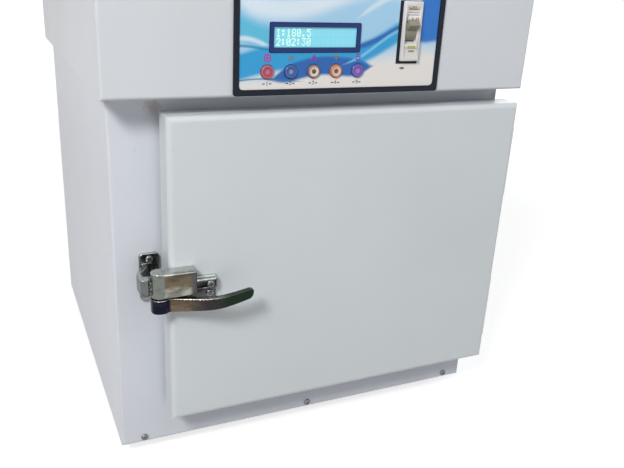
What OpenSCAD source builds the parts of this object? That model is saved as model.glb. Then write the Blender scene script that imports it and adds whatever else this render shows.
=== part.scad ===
// Dry heat sterilizer: a bench-top hot air cabinet with an overlay door hinged on the right,
// a lever latch on the left, and a control header that stands forward over the door.
// X runs to the right, Y to the back and Z up. The bench is Z = 0, and X = Y = 0 is the
// middle of the whole product's outline, from the header's left side to the hinge barrels and
// from the lever to the rear louvres.

/* [Cabinet] */
// Width of the cabinet across its side panels
cabinet_w = 333; // [325:1:360]
// Depth of the cabinet from its front frame to its rear panel
cabinet_d = 330; // [320:1:380]
// Thickness of the painted sheet
sheet = 1.2; // [0.8:0.1:1.5]
// Outside radius of the folded edges
bend_r = 2.4; // [1.8:0.1:3]
// Plain strip of the front, left of the door
strip_left = 36; // [34:1:50]
// Plain strip of the front, below the door
strip_below = 35; // [30:1:50]
// Gap between the door and the header above it
gap_above = 12; // [8:1:20]

/* [Door] */
// How far the door stands past the cabinet's right side
door_past = 3; // [2:0.5:6]
// Height of the door
door_h = 244; // [236:1:260]
// Depth of the folded door skin
door_t = 21; // [18:1:26]
// Gap between the back of the door and the front frame, filled by the gasket
seal_gap = 6; // [5:0.5:8]
// Radius of the rolled edges round the door face
door_r = 4; // [3:0.5:5]
// Width of the gasket
gasket_w = 10; // [8:1:12]
// Depth of the raised panel on the door liner
plug_d = 14; // [10:1:16]

/* [Chamber] */
// Distance from each side edge of the door to the chamber's wall
chamber_side = 32; // [29:1:40]
// Distance from the door's top and bottom edges to the chamber's walls
chamber_over = 24; // [20:1:32]
// Depth behind the chamber, for its insulation and the ends of the heater
service_d = 80; // [72:1:90]
// Thickness of the stainless liner
liner_t = 0.8; // [0.6:0.1:1.2]
// Radius of the chamber's long corners
chamber_r = 8; // [5:1:12]
// Thickness of the insulation behind the chamber
jacket_back = 40; // [30:1:42]
// Height of the perforated floor plate above the chamber's bottom
floor_h = 26; // [24:1:32]
// Height of the lower shelf above the chamber's bottom
shelf_low = 76; // [70:1:84]
// Height of the upper shelf above the chamber's bottom
shelf_high = 136; // [130:1:145]
// Number of rods in each shelf
shelf_rods = 15; // [9:2:21]

/* [Header] */
// Height of the control header
header_h = 100; // [96:1:120]
// How far the header stands out past the cabinet's left side
header_left = 7; // [5:1:10]
// Width of the control plate over its frame
plate_w = 167; // [164:1:175]
// Height of the control plate over its frame
plate_h = 89; // [87:1:92]
// Width of the frame round the control plate
frame_w = 4; // [3:0.5:5]
// How far the frame stands out from the header
frame_out = 1.6; // [1.4:0.1:2.4]
// Thickness of the printed overlay
overlay_t = 0.8; // [0.5:0.1:1]

/* [Controls] */
// Width of the display frame
display_w = 70.5; // [68:0.5:74]
// Height of the display frame
display_h = 20; // [19:0.5:22]
// Width of the display frame's border
display_rim = 2.9; // [2:0.1:3.5]
// Radius of a push button
button_r = 4.8; // [4:0.1:5.4]
// Distance from one push button to the next
button_pitch = 17.8; // [14:0.1:18]
// Travel of a push button
button_travel = 1.2; // [0.8:0.1:1.6]
// Width of the circuit breaker
breaker_w = 17.8; // [17.5:0.1:18]
// Height of the circuit breaker's nose
nose_h = 45; // [44:0.5:46]

/* [Latch] */
// Height of the lever's middle above the bottom of the door
latch_h = 107; // [90:1:125]
// Radius of the latch spindle
spindle_r = 2.5; // [2:0.1:3]
// Radius of the lever's hub
hub_r = 6.8; // [6.2:0.1:7]
// Height of the lever at its hub
lever_h = 11; // [9:0.5:11.5]
// Length of the lever from its spindle to its tip
lever_len = 67; // [55:1:80]
// How far the lever's middle line stands out from its spindle
lever_out = 16; // [12:0.5:20]
// Rise of the lever's tip
lever_rise = 8; // [0:0.5:12]

/* [Hinges and feet] */
// Radius of the hinge barrels
barrel_r = 4.5; // [4:0.1:5]
// Radius of the hinge pins
pin_r = 2; // [1.6:0.1:2.4]
// Height of a hinge
hinge_h = 60; // [48:1:70]
// Distance of each hinge's middle from the door's nearer end
hinge_in = 52; // [40:1:60]
// Height of the rubber feet
foot_h = 12; // [8:1:20]
// Radius of the rubber feet
foot_r = 11; // [9:0.5:14]

/* [Hidden] */
$fn = 48;

// Gap left between flat parts that only lie beside each other
clear = 0.3;
// Radial clearance of a pin in its bore
running = 0.05;
// Overlap of a cut past the face that it opens
cut = 1;

// The cabinet's middle lies to the left of the whole product's middle, and behind it
mid_x = -2.75;
mid_y = 22.8;

// Places of the cabinet's faces
left_x = mid_x - cabinet_w / 2;
right_x = mid_x + cabinet_w / 2;
front_y = mid_y - cabinet_d / 2;
back_y = mid_y + cabinet_d / 2;
base_z = foot_h;

// Places of the door, which follows the cabinet's width
door_x0 = left_x + strip_left;
door_x1 = right_x + door_past;
door_w = door_x1 - door_x0;
door_mid_x = door_x0 + door_w / 2;
door_back_y = front_y - seal_gap;
face_y = door_back_y - door_t;
door_z0 = base_z + strip_below;
door_z1 = door_z0 + door_h;
door_mid_z = door_z0 + door_h / 2;
cabinet_top = door_z1 + gap_above;
skin_t = 1;
skin_lip = 10;

// Places of the header
header_x0 = left_x - header_left;
header_x1 = max(door_x1, right_x + sheet + 1);
header_w = header_x1 - header_x0;
header_z0 = cabinet_top;
header_z1 = header_z0 + header_h;
header_lip = 12;

// The chamber sits behind the middle of the door
chamber_w = door_w - 2 * chamber_side;
chamber_h = door_h - 2 * chamber_over;
chamber_d = cabinet_d - service_d;
flange_w = 17;
mouth_gap = 3;
chamber_z0 = door_mid_z - chamber_h / 2;
chamber_back_y = front_y + chamber_d;
jacket_gap = 4;
jacket_back_y = chamber_back_y + liner_t + jacket_back;

// Pan head screws
screw_head_r = 3;
screw_head_h = 1.6;
screw_r = 1.5;
screw_fit = 0.15;

// A rectangle from the origin with rounded corners
module round_rect(w, h, r) {
    translate([r, 0]) square([w - 2 * r, h]);
    translate([0, r]) square([w, h - 2 * r]);
    for (x = [r, w - r], y = [r, h - r]) translate([x, y]) circle(r);
}

// A rectangle from the origin whose two corners at y = 0 are rounded
module front_round_rect(w, d, r) {
    translate([r, 0]) square([w - 2 * r, d]);
    translate([0, r]) square([w, d - r]);
    for (x = [r, w - r]) translate([x, r]) circle(r);
}

// A box whose four edges round the front face are rounded; its corner is at the origin
module front_round_box(w, d, h, r) {
    intersection() {
        linear_extrude(h) front_round_rect(w, d, r);
        translate([w, 0, 0]) rotate([0, -90, 0]) linear_extrude(w) front_round_rect(h, d, r);
    }
}

// A slab in the X-Z plane with rounded corners, middle at x = z = 0, from y = 0 to y = t
module front_slab(w, h, t, r) {
    translate([-w / 2, t, -h / 2]) rotate([90, 0, 0]) linear_extrude(t) round_rect(w, h, r);
}

// A round bar along Y from y = 0
module bar_y(r, len) {
    rotate([-90, 0, 0]) cylinder(r = r, h = len);
}

// A pan head screw seated on z = 0 with its shank going down
module screw(len) {
    cylinder(r1 = screw_head_r, r2 = screw_head_r - 0.7, h = screw_head_h);
    translate([0, 0, -len]) cylinder(r = screw_r, h = len + 0.2);
}

// The hole that a screw's shank goes through, from z = 0 down
module screw_hole(len) {
    translate([0, 0, -len]) cylinder(r = screw_r + screw_fit, h = len + cut);
}

// Faces for screws: towards the viewer, to the back and to the right
module facing_front() { rotate([90, 0, 0]) children(); }
module facing_back() { rotate([-90, 0, 0]) children(); }
module facing_right() { rotate([0, 90, 0]) children(); }

// Cabinet: wrap, rear panel, screws and feet

louvre_w = 70;
louvre_h = 5;
louvre_pitch = 15;
louvre_rows = 7;
louvre_depth = 4;
frame_screw_z = base_z + 5;
rear_screw_in = 6;
foot_in = 45;
front_screw_in = 18.5;
front_screw_xs = [left_x + front_screw_in, mid_x, right_x - front_screw_in];
louvres_up = 60;
foot_recess_r = 5;
foot_recess_h = 4;

module front_screw_places() {
    for (x = front_screw_xs) translate([x, front_y, frame_screw_z]) facing_front() children();
}

module rear_screw_places() {
    for (x = [left_x + rear_screw_in, right_x - rear_screw_in],
         z = [base_z + rear_screw_in, (base_z + cabinet_top) / 2, cabinet_top - rear_screw_in])
        translate([x, back_y, z]) facing_back() children();
}

module foot_places() {
    for (x = [left_x + foot_in, right_x - foot_in], y = [front_y + foot_in, back_y - foot_in])
        translate([x, y, 0]) children();
}

module cabinet_wrap() {
    rear_lip = 12;
    inner_w = cabinet_w - 2 * sheet;
    inner_h = cabinet_top - base_z - 2 * sheet;
    color("gainsboro") difference() {
        translate([left_x, front_y, base_z])
            front_round_box(cabinet_w, cabinet_d - sheet, cabinet_top - base_z, bend_r);
        translate([left_x + sheet, front_y + sheet, base_z + sheet])
            cube([inner_w, cabinet_d - 3 * sheet, inner_h]);
        translate([left_x + rear_lip, back_y - 3 * sheet, base_z + rear_lip])
            cube([cabinet_w - 2 * rear_lip, 4 * sheet, cabinet_top - base_z - 2 * rear_lip]);
        translate([door_mid_x, front_y - cut, door_mid_z])
            front_slab(chamber_w + 2 * liner_t + 2 * clear, chamber_h + 2 * liner_t + 2 * clear,
                sheet + 2 * cut, chamber_r + liner_t + clear);
        front_screw_places() screw_hole(10);
        rear_screw_places() screw_hole(10);
        keeper_screw_places() screw_hole(12);
        cabinet_hinge_screw_places() screw_hole(10);
        foot_places() translate([0, 0, base_z + 2 * sheet]) screw_hole(10);
    }
}

// One pressed louvre: a hood that is open below
module louvre_hood() {
    rotate([0, 90, 0]) linear_extrude(louvre_w) difference() {
        intersection() {
            circle(louvre_h);
            translate([-louvre_h, 0]) square([louvre_h, louvre_h]);
        }
        intersection() {
            circle(louvre_h - 1);
            translate([-louvre_h, 0]) square([louvre_h, louvre_h]);
        }
    }
}

module louvre_places() {
    for (side = [-1, 1], row = [0 : louvre_rows - 1])
        translate([mid_x + side * cabinet_w / 4 - louvre_w / 2, back_y,
            base_z + louvres_up + row * louvre_pitch])
            children();
}

module rear_panel() {
    color("gainsboro") {
        difference() {
            translate([left_x, back_y - sheet, base_z])
                cube([cabinet_w, sheet, cabinet_top - base_z]);
            louvre_places() translate([1, -sheet - cut, 0])
                cube([louvre_w - 2, sheet + 2 * cut, louvre_h - 1]);
            rear_screw_places() screw_hole(10);
        }
        louvre_places() louvre_hood();
    }
}

module rear_screws() {
    color("silver") rear_screw_places() screw(5);
}

module front_screws() {
    color("dimgray") front_screw_places() screw(5);
}

module rubber_feet() {
    color("#202020") foot_places() difference() {
        cylinder(r1 = foot_r - 1.5, r2 = foot_r, h = foot_h);
        translate([0, 0, -cut]) cylinder(r = foot_recess_r, h = foot_recess_h + cut);
        cylinder(r = screw_r + screw_fit, h = foot_h + cut);
    }
}

module foot_screws() {
    color("silver") foot_places() translate([0, 0, foot_recess_h]) rotate([180, 0, 0]) screw(foot_h);
}

// Chamber: liner, jacket, racks, shelves, floor plate, heater and probe

heater_r = 4;
heater_half = 62;
heater_up = 12;
heater_z = chamber_z0 + heater_up;
heater_in = 25;
heater_front_y = front_y + heater_in + heater_half + heater_r;
heater_end = 14;
heater_pin_r = 1.6;
heater_pin = 9;
probe_r = 3;
probe_side = 40;
probe_down = 22;
probe_x = door_mid_x + chamber_w / 2 - probe_side;
probe_z = chamber_z0 + chamber_h - probe_down;
probe_reach = 70;
probe_nut_r = 8;
probe_nut = 6;
probe_end = 10;
flange_t = 2;
flange_over = 14;
flange_half_h = 12;
service_y = jacket_back_y + flange_t;

module heater_leg_places() {
    for (side = [-1, 1]) translate([door_mid_x + side * heater_half, 0, heater_z]) children();
}

module back_wall_holes(extra) {
    heater_leg_places() translate([0, chamber_back_y - cut, 0])
        bar_y(heater_r + extra, jacket_back + 3 * cut);
    translate([probe_x, chamber_back_y - cut, probe_z])
        bar_y(probe_r + extra, jacket_back + 3 * cut);
}

module chamber_liner() {
    color("silver") difference() {
        union() {
            translate([door_mid_x, front_y, door_mid_z])
                front_slab(chamber_w + 2 * liner_t, chamber_h + 2 * liner_t, chamber_d + liner_t,
                    chamber_r + liner_t);
            translate([door_mid_x, front_y - liner_t, door_mid_z])
                front_slab(chamber_w + 2 * flange_w, chamber_h + 2 * flange_w, liner_t, chamber_r);
        }
        translate([door_mid_x, front_y - liner_t - cut, door_mid_z])
            front_slab(chamber_w, chamber_h, chamber_d + liner_t + cut, chamber_r);
        back_wall_holes(clear);
    }
}

module insulation_jacket() {
    top_z = cabinet_top - sheet - jacket_gap;
    color("khaki") difference() {
        translate([left_x + sheet + jacket_gap, front_y + sheet + jacket_gap, base_z + sheet])
            cube([cabinet_w - 2 * sheet - 2 * jacket_gap,
                jacket_back_y - front_y - sheet - jacket_gap,
                top_z - base_z - sheet]);
        translate([door_mid_x, front_y, door_mid_z])
            front_slab(chamber_w + 2 * liner_t + 2 * clear, chamber_h + 2 * liner_t + 2 * clear,
                chamber_d + liner_t, chamber_r);
        foot_places() cylinder(r = screw_head_r + 2, h = base_z + sheet + 8);
        back_wall_holes(clear);
    }
}

rail_t = 1;
rail_w = 10;
rack_in = 30;
rack_back = 20;
rack_y0 = front_y + rack_in;
rack_len = chamber_d - rack_in - rack_back;
post_w = 12;
post_in = 10;
post_up = 8;
post_over = 14;
shelf_bar = 3;
shelf_bar_h = 6;
shelf_side_gap = 1;
shelf_end_gap = 5;
rod_r = 1.2;
rod_down = 0.6;
cross_bar_down = 2.6;
cross_bar_up = 0.4;
plate_front = 14;
plate_ends = 20;
vent_w = 24;
vent_h = 5;
vent_pitch = 38;
vent_in = 20;

// A side rack: two upright strips that carry two L-shaped rails, for the left wall
module side_rack() {
    post_z0 = chamber_z0 + floor_h + post_up;
    post_z1 = chamber_z0 + shelf_high + post_over;
    for (y = [rack_y0 + post_in, rack_y0 + rack_len - post_in - post_w])
        translate([0, y, post_z0]) cube([rail_t, post_w, post_z1 - post_z0]);
    for (h = [shelf_low, shelf_high]) translate([0, rack_y0, chamber_z0 + h - rail_t]) {
        cube([rail_w, rack_len, rail_t]);
        translate([0, 0, -rail_w + rail_t]) cube([rail_t, rack_len, rail_w]);
    }
}

module side_rack_left() {
    color("silver") translate([door_mid_x - chamber_w / 2, 0, 0]) side_rack();
}

module side_rack_right() {
    color("silver") translate([door_mid_x + chamber_w / 2, 0, 0]) mirror([1, 0, 0]) side_rack();
}

// A wire shelf: a flat bar frame with rods from front to back
module wire_shelf(h) {
    w = chamber_w - 2 * rail_t - 2 * shelf_side_gap;
    d = rack_len - 2 * shelf_end_gap;
    step = (w - shelf_bar) / (shelf_rods + 1);
    translate([door_mid_x - w / 2, rack_y0 + shelf_end_gap, chamber_z0 + h]) {
        difference() {
            cube([w, d, shelf_bar_h]);
            translate([shelf_bar, shelf_bar, -cut])
                cube([w - 2 * shelf_bar, d - 2 * shelf_bar, shelf_bar_h + 2 * cut]);
        }
        for (i = [1 : shelf_rods])
            translate([shelf_bar / 2 + i * step, shelf_bar / 2, shelf_bar_h - rod_r - rod_down])
                bar_y(rod_r, d - shelf_bar);
        translate([shelf_bar / 2, d / 2 - shelf_bar / 2, cross_bar_up])
            cube([w - shelf_bar, shelf_bar, shelf_bar_h - cross_bar_down]);
    }
}

module shelf_lower() {
    color("silver") wire_shelf(shelf_low);
}

module shelf_upper() {
    color("silver") wire_shelf(shelf_high);
}

// The floor plate stands over the heater on its two folded sides
module floor_plate() {
    w = chamber_w - 2 * chamber_r;
    d = chamber_d - plate_ends;
    color("lightgray") translate([door_mid_x - w / 2, front_y + plate_front, chamber_z0]) difference() {
        cube([w, d, floor_h]);
        translate([rail_t, -cut, -cut])
            cube([w - 2 * rail_t, d + 2 * cut, floor_h - rail_t + cut]);
        for (column = [0 : 4], row = [0 : 8])
            translate([w / 2 + (column - 2) * vent_pitch - vent_w / 2,
                vent_in + row * (d - 2 * vent_in - vent_h) / 8, 0])
                cube([vent_w, vent_h, floor_h + cut]);
    }
}

module heater_tube() {
    leg_y1 = service_y + heater_end;
    color("dimgray") {
        heater_leg_places() translate([0, heater_front_y, 0])
            bar_y(heater_r, leg_y1 - heater_front_y);
        translate([door_mid_x, heater_front_y, heater_z]) rotate([0, 0, 180])
            rotate_extrude(angle = 180) translate([heater_half, 0]) circle(heater_r);
        heater_leg_places() translate([0, leg_y1, 0]) bar_y(heater_pin_r, heater_pin);
    }
}

module heater_flange() {
    color("silver") difference() {
        translate([door_mid_x - heater_half - flange_over, jacket_back_y, heater_z - flange_half_h])
            cube([2 * heater_half + 2 * flange_over, flange_t, 2 * flange_half_h]);
        heater_leg_places() translate([0, jacket_back_y - cut, 0])
            bar_y(heater_r + running, flange_t + 2 * cut);
    }
}

module temperature_probe() {
    color("gray") translate([probe_x, chamber_back_y - probe_reach, probe_z]) {
        sphere(probe_r);
        bar_y(probe_r, probe_reach + liner_t + jacket_back + probe_end);
        translate([0, probe_reach + liner_t + jacket_back, 0]) bar_y(probe_nut_r, probe_nut);
    }
}

// Hinges

hinge_x = door_x1 + barrel_r + 0.5;
hinge_y = front_y - 3;
leaf_t = 2;
knuckle_gap = 0.2;
knuckle_h = hinge_h / 3;
hinge_zs = [door_z0 + hinge_in, door_z1 - hinge_in];
leaf_in = 6;
cabinet_leaf_y0 = front_y + leaf_in;
cabinet_leaf_len = 28;
leaf_screw_in = 9;
door_leaf_in = 4;
door_leaf_y0 = face_y + door_leaf_in;
door_leaf_screw_in = 5.5;
screw_bite = 1.5;

module hinge_places() {
    for (z = hinge_zs) translate([hinge_x, hinge_y, z - hinge_h / 2]) children();
}

module cabinet_hinge_screw_places() {
    for (z = hinge_zs, dz = [-hinge_h / 3, 0, hinge_h / 3])
        translate([right_x + leaf_t, cabinet_leaf_y0 + cabinet_leaf_len - leaf_screw_in, z + dz])
            facing_right() children();
}

module door_hinge_screw_places() {
    for (z = hinge_zs, dz = [-hinge_h / 3, 0, hinge_h / 3])
        translate([door_x1 + leaf_t, door_leaf_y0 + door_leaf_screw_in, z + dz]) facing_right() children();
}

module pin_bore() {
    translate([0, 0, -cut]) cylinder(r = pin_r + running, h = hinge_h + 2 * cut);
}

module cabinet_hinge_leaves() {
    side_x = right_x - hinge_x;
    leaf_y = cabinet_leaf_y0 - hinge_y;
    color("silver") difference() {
        hinge_places() {
            translate([side_x, leaf_y, 0]) cube([leaf_t, cabinet_leaf_len, hinge_h]);
            for (z = [0, hinge_h - knuckle_h + knuckle_gap]) translate([0, 0, z])
                difference() {
                    linear_extrude(knuckle_h - knuckle_gap) union() {
                        circle(barrel_r);
                        polygon([[side_x, leaf_y + 1], [side_x, leaf_y - 2],
                            [-barrel_r * 0.7, barrel_r * 0.72], [0, barrel_r * 0.6],
                            [0, barrel_r], [side_x + leaf_t, leaf_y + 1]]);
                    }
                    pin_bore();
                }
        }
        cabinet_hinge_screw_places() screw_hole(6);
    }
}

module door_hinge_leaves() {
    side_x = door_x1 - hinge_x;
    leaf_y = door_leaf_y0 - hinge_y;
    leaf_end = -barrel_r - 1.4;
    color("silver") difference() {
        hinge_places() {
            translate([side_x, leaf_y, 0]) cube([leaf_t, leaf_end - leaf_y, hinge_h]);
            translate([0, 0, knuckle_h + knuckle_gap / 2]) difference() {
                linear_extrude(knuckle_h - knuckle_gap) union() {
                    circle(barrel_r);
                    polygon([[side_x, leaf_end - 1], [side_x + leaf_t, leaf_end - 1],
                        [0, -barrel_r * 0.8], [-barrel_r * 0.7, -barrel_r * 0.3],
                        [side_x, leaf_end + 2]]);
                }
                pin_bore();
            }
        }
        door_hinge_screw_places() screw_hole(6);
    }
}

module hinge_pins() {
    head_h = 1;
    color("silver") hinge_places() {
        cylinder(r = pin_r, h = hinge_h);
        for (z = [-head_h, hinge_h]) translate([0, 0, z]) cylinder(r = pin_r + 1, h = head_h);
    }
}

module cabinet_hinge_screws() {
    color("silver") cabinet_hinge_screw_places() screw(leaf_t + sheet + screw_bite);
}

module door_hinge_screws() {
    color("silver") door_hinge_screw_places() screw(leaf_t + skin_t + screw_bite);
}

// Latch, in its own frame: origin at the door's left front edge, at the lever's middle height

latch_z = door_z0 + latch_h;
spindle_x = -8.5;
spindle_y = -5;
boss_r = 6.5;
lever_gap = 1;
boss_z0 = lever_h / 2 + lever_gap;
body_h = 19.5;
cam_z = boss_z0 + 3.5;
cam_h = 8.5;
cam_gap = 0.5;
cam_tip = [-8, 9.3];
cam_elbow_x = -2;
cam_tip_r = 2;
keeper_gap = 0.4;
foot_y = seal_gap + door_t;

module latch_frame() { translate([door_x0, face_y, latch_z]) children(); }
module at_spindle() { translate([spindle_x, spindle_y, 0]) children(); }

// Keeper: a plate on the front frame with a cranked arm that ends in a hooked nose
keeper_plate_t = 3;
keeper_plate_w = 15;
keeper_plate_x = -17;
keeper_plate_z = [-10, 29];
keeper_arm_h = 13;
nose_r = 2.2;
nose_wall = 3.4;
lip_t = 7.9;
lip_r = 1.5;
lip_reach = 2.7;
tip_left = spindle_x + cam_tip[0] - cam_tip_r;
tip_front = spindle_y + cam_tip[1] - cam_tip_r;
hook_x = tip_left - keeper_gap;
nose_x = hook_x - nose_wall + nose_r;

module keeper_screw_places() {
    for (z = [keeper_plate_z[0] + 5, keeper_plate_z[1] - 4.5])
        latch_frame() translate([keeper_plate_x + keeper_plate_w / 2, foot_y - keeper_plate_t, z])
            facing_front() children();
}

module keeper_arm_plan() {
    lip_back = tip_front - keeper_gap;
    lip_front = lip_back - lip_t;
    lip_x = tip_left + lip_reach;
    root_y = foot_y - keeper_plate_t;
    translate([nose_x, lip_front + nose_r]) circle(nose_r);
    translate([nose_x, lip_front]) square([lip_x - nose_x - lip_r, 2 * lip_r]);
    translate([lip_x - lip_r, lip_front + lip_r]) circle(lip_r);
    polygon([[nose_x - nose_r, lip_front + nose_r], [lip_x, lip_front + lip_r], [lip_x, lip_back],
        [hook_x, lip_back], [hook_x, tip_front + 6.6], [keeper_plate_x + 9, root_y],
        [keeper_plate_x + 9, foot_y - 1], [keeper_plate_x + 2, foot_y - 1],
        [keeper_plate_x + 2, root_y - 1], [nose_x - nose_r, tip_front + 7]]);
}

module latch_keeper() {
    color("lightgray") difference() {
        latch_frame() {
            translate([keeper_plate_x + keeper_plate_w / 2, foot_y - keeper_plate_t,
                (keeper_plate_z[0] + keeper_plate_z[1]) / 2])
                front_slab(keeper_plate_w, keeper_plate_z[1] - keeper_plate_z[0], keeper_plate_t, 3);
            translate([0, 0, cam_z + cam_h / 2 - keeper_arm_h / 2])
                linear_extrude(keeper_arm_h) keeper_arm_plan();
        }
        keeper_screw_places() screw_hole(12);
    }
}

module keeper_screws() {
    color("silver") keeper_screw_places() screw(keeper_plate_t + sheet + screw_bite);
}

// Latch body: boss over the lever's hub, main block, and a low tail with the screws
block_x1 = 18;
block_out = 12;
tail_x1 = 35;
tail_out = 6;
tail_h = 8.5;
base_t = 2;
base_z_low = -3;
base_z_high = 17;

// Each latch screw: its place along the tail, how far its seat stands out, and its height
latch_screw_spots = [[29.5, tail_out, 11.75], [30, base_t, 2.5]];

module latch_screw_place(spot) {
    latch_frame() translate([spot[0], -spot[1], spot[2]]) facing_front() children();
}

module latch_screw_places() {
    for (spot = latch_screw_spots) latch_screw_place(spot) children();
}

module latch_body() {
    slot_r = boss_r - 1.3;
    color("lightgray") difference() {
        latch_frame() {
            at_spindle() translate([0, 0, boss_z0]) cylinder(r = boss_r, h = body_h);
            translate([spindle_x, -block_out, boss_z0])
                front_round_box(block_x1 - spindle_x, block_out, body_h, 2);
            translate([block_x1 - 4, -tail_out, boss_z0 + 1])
                front_round_box(tail_x1 - block_x1 + 4, tail_out, tail_h, 2);
            translate([1, -base_t, base_z_low])
                front_round_box(tail_x1 - 1, base_t, base_z_high - base_z_low, 1);
        }
        latch_frame() at_spindle() {
            translate([0, 0, boss_z0 - cut])
                cylinder(r = spindle_r + running, h = body_h - 2 + cut);
            translate([0, 0, cam_z - cam_gap]) {
                cylinder(r = slot_r, h = cam_h + 2 * cam_gap);
                translate([-12, 0, 0]) cube([12 + slot_r, 12, cam_h + 2 * cam_gap]);
                translate([-12, -2, 0]) cube([12, 6, cam_h + 2 * cam_gap]);
            }
        }
        latch_screw_places() screw_hole(14);
    }
}

module latch_screws() {
    color("silver") for (spot = latch_screw_spots) latch_screw_place(spot) screw(spot[1] + 4);
}

// The lever's middle line and half sizes, as t runs from 0 at the spindle to 1 at the tip
lever_ts = concat([for (i = [0 : 20]) 0.94 * i / 20], [for (a = [12 : 12 : 84]) 0.94 + 0.06 * sin(a)], [1]);
function ease(u) = let (v = min(max(u, 0), 1)) v * v * (3 - 2 * v);
function lever_x(t) = spindle_x + lever_len * t;
function lever_y(t) = spindle_y - 0.5 - (lever_out - 0.5) * ease(1.45 * t);
function lever_rise_at(t) = lever_rise * pow(t, 2.2);
function tip_round(t) = t < 0.94 ? 1 : sqrt(max(1 - pow((t - 0.94) / 0.06, 2), 0.02));
function lever_half_t(t) = (3.4 - 1.2 * t) * tip_round(t);
function lever_half_h(t) = (lever_h / 2 - 1.7 * t) * tip_round(t);

module lever_arm() {
    back = [for (i = [len(lever_ts) - 1 : -1 : 0]) lever_ts[i]];
    intersection() {
        translate([0, 0, -lever_h]) linear_extrude(3 * lever_h)
            polygon(concat([for (t = lever_ts) [lever_x(t), lever_y(t) - lever_half_t(t)]],
                [for (t = back) [lever_x(t), lever_y(t) + lever_half_t(t)]]));
        translate([0, 3 * lever_out, 0]) rotate([90, 0, 0]) linear_extrude(6 * lever_out)
            polygon(concat([for (t = lever_ts) [lever_x(t), lever_rise_at(t) - lever_half_h(t)]],
                [for (t = back) [lever_x(t), lever_rise_at(t) + lever_half_h(t)]]));
    }
}

module latch_lever() {
    color("#3a3f3c") latch_frame() difference() {
        union() {
            at_spindle() translate([0, 0, -lever_h / 2]) cylinder(r = hub_r, h = lever_h);
            lever_arm();
        }
        at_spindle() translate([0, 0, -lever_h]) cylinder(r = spindle_r, h = 2 * lever_h);
    }
}

module latch_spindle() {
    head_h = 1.5;
    color("silver") latch_frame() at_spindle() {
        translate([0, 0, -lever_h / 2]) cylinder(r = spindle_r, h = cam_z + cam_h + 3 + lever_h / 2);
        translate([0, 0, -lever_h / 2 - head_h]) cylinder(r = spindle_r + 1.5, h = head_h);
    }
}

// The cam's plan about the spindle: a ring, an arm to the back, and a hook to the left
module cam_plan() {
    ring_r = 4.4;
    hook_front = cam_tip[1] - cam_tip_r;
    hook_back = cam_tip[1] + cam_tip_r;
    circle(ring_r);
    translate(cam_tip) circle(cam_tip_r);
    polygon([[cam_tip[0], hook_front], [cam_elbow_x - cam_tip_r - 0.5, hook_front],
        [-ring_r * 0.85, 0.5], [0, -1], [ring_r * 0.6, 1], [cam_elbow_x + cam_tip_r, hook_back - 1.5],
        [cam_elbow_x + cam_tip_r - 1.5, hook_back], [cam_tip[0], hook_back]]);
}

module latch_cam() {
    color("lightgray") latch_frame() at_spindle() translate([0, 0, cam_z]) difference() {
        linear_extrude(cam_h) cam_plan();
        translate([0, 0, -cut]) cylinder(r = spindle_r, h = cam_h + 2 * cut);
    }
}

// Door: skin, insulation, liner, gasket and screws

liner_lap = 8;
door_liner_w = door_w - 2 * skin_t - 2 * (skin_lip - liner_lap) - 2;
door_liner_h = door_h - 2 * skin_t - 2 * (skin_lip - liner_lap) - 2;
gasket_in_w = chamber_w + 2 * mouth_gap;
gasket_in_h = chamber_h + 2 * mouth_gap;
gasket_t = seal_gap - 2 * liner_t - clear;
plug_w = chamber_w - 24;
plug_h = chamber_h - 24;
liner_screw_in = 4.5;

module liner_screw_places() {
    for (side = [-1, 1], up = [-1, 1])
        translate([door_mid_x + side * (door_liner_w / 2 - liner_screw_in), door_back_y + liner_t,
            door_mid_z + up * (door_liner_h / 2 - liner_screw_in)]) facing_back() children();
}

module door_skin() {
    lip_w = skin_t + skin_lip;
    color("whitesmoke") difference() {
        translate([door_x0, face_y, door_z0]) front_round_box(door_w, door_t, door_h, door_r);
        translate([door_x0 + skin_t, face_y + skin_t, door_z0 + skin_t])
            front_round_box(door_w - 2 * skin_t, door_t - 2 * skin_t, door_h - 2 * skin_t,
                door_r - skin_t);
        translate([door_x0 + lip_w, face_y + door_t / 2, door_z0 + lip_w])
            cube([door_w - 2 * lip_w, door_t, door_h - 2 * lip_w]);
        door_hinge_screw_places() screw_hole(8);
        liner_screw_places() screw_hole(8);
        latch_screw_places() screw_hole(14);
    }
}

module door_insulation() {
    gap = 5;
    w = door_w - 2 * skin_t - 2 * gap;
    h = door_h - 2 * skin_t - 2 * gap;
    color("khaki") difference() {
        union() {
            translate([door_mid_x - w / 2, face_y + skin_t, door_mid_z - h / 2])
                cube([w, door_t - 2 * skin_t, h]);
            translate([door_mid_x - plug_w / 2 + gap, door_back_y - 2 * skin_t,
                door_mid_z - plug_h / 2 + gap])
                cube([plug_w - 2 * gap, plug_d + skin_t, plug_h - 2 * gap]);
        }
        liner_screw_places() translate([0, 0, -12]) cylinder(r = screw_head_r, h = 12);
        latch_screw_places() translate([0, 0, -18]) cylinder(r = screw_head_r, h = 18);
    }
}

module door_liner() {
    color("silver") difference() {
        union() {
            translate([door_mid_x, door_back_y, door_mid_z])
                front_slab(door_liner_w, door_liner_h, liner_t, 4);
            translate([door_mid_x, door_back_y, door_mid_z])
                front_slab(plug_w, plug_h, plug_d, chamber_r);
        }
        translate([door_mid_x, door_back_y - cut, door_mid_z])
            front_slab(plug_w - 2 * liner_t, plug_h - 2 * liner_t, plug_d - liner_t + cut,
                chamber_r - liner_t);
        liner_screw_places() screw_hole(6);
    }
}

module door_gasket() {
    color("#b5523a") translate([door_mid_x, door_back_y + liner_t, door_mid_z]) difference() {
        front_slab(gasket_in_w + 2 * gasket_w, gasket_in_h + 2 * gasket_w, gasket_t, 12);
        translate([0, -cut, 0]) front_slab(gasket_in_w, gasket_in_h, gasket_t + 2 * cut, 6);
    }
}

module liner_screws() {
    color("silver") liner_screw_places() screw(4);
}

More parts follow.
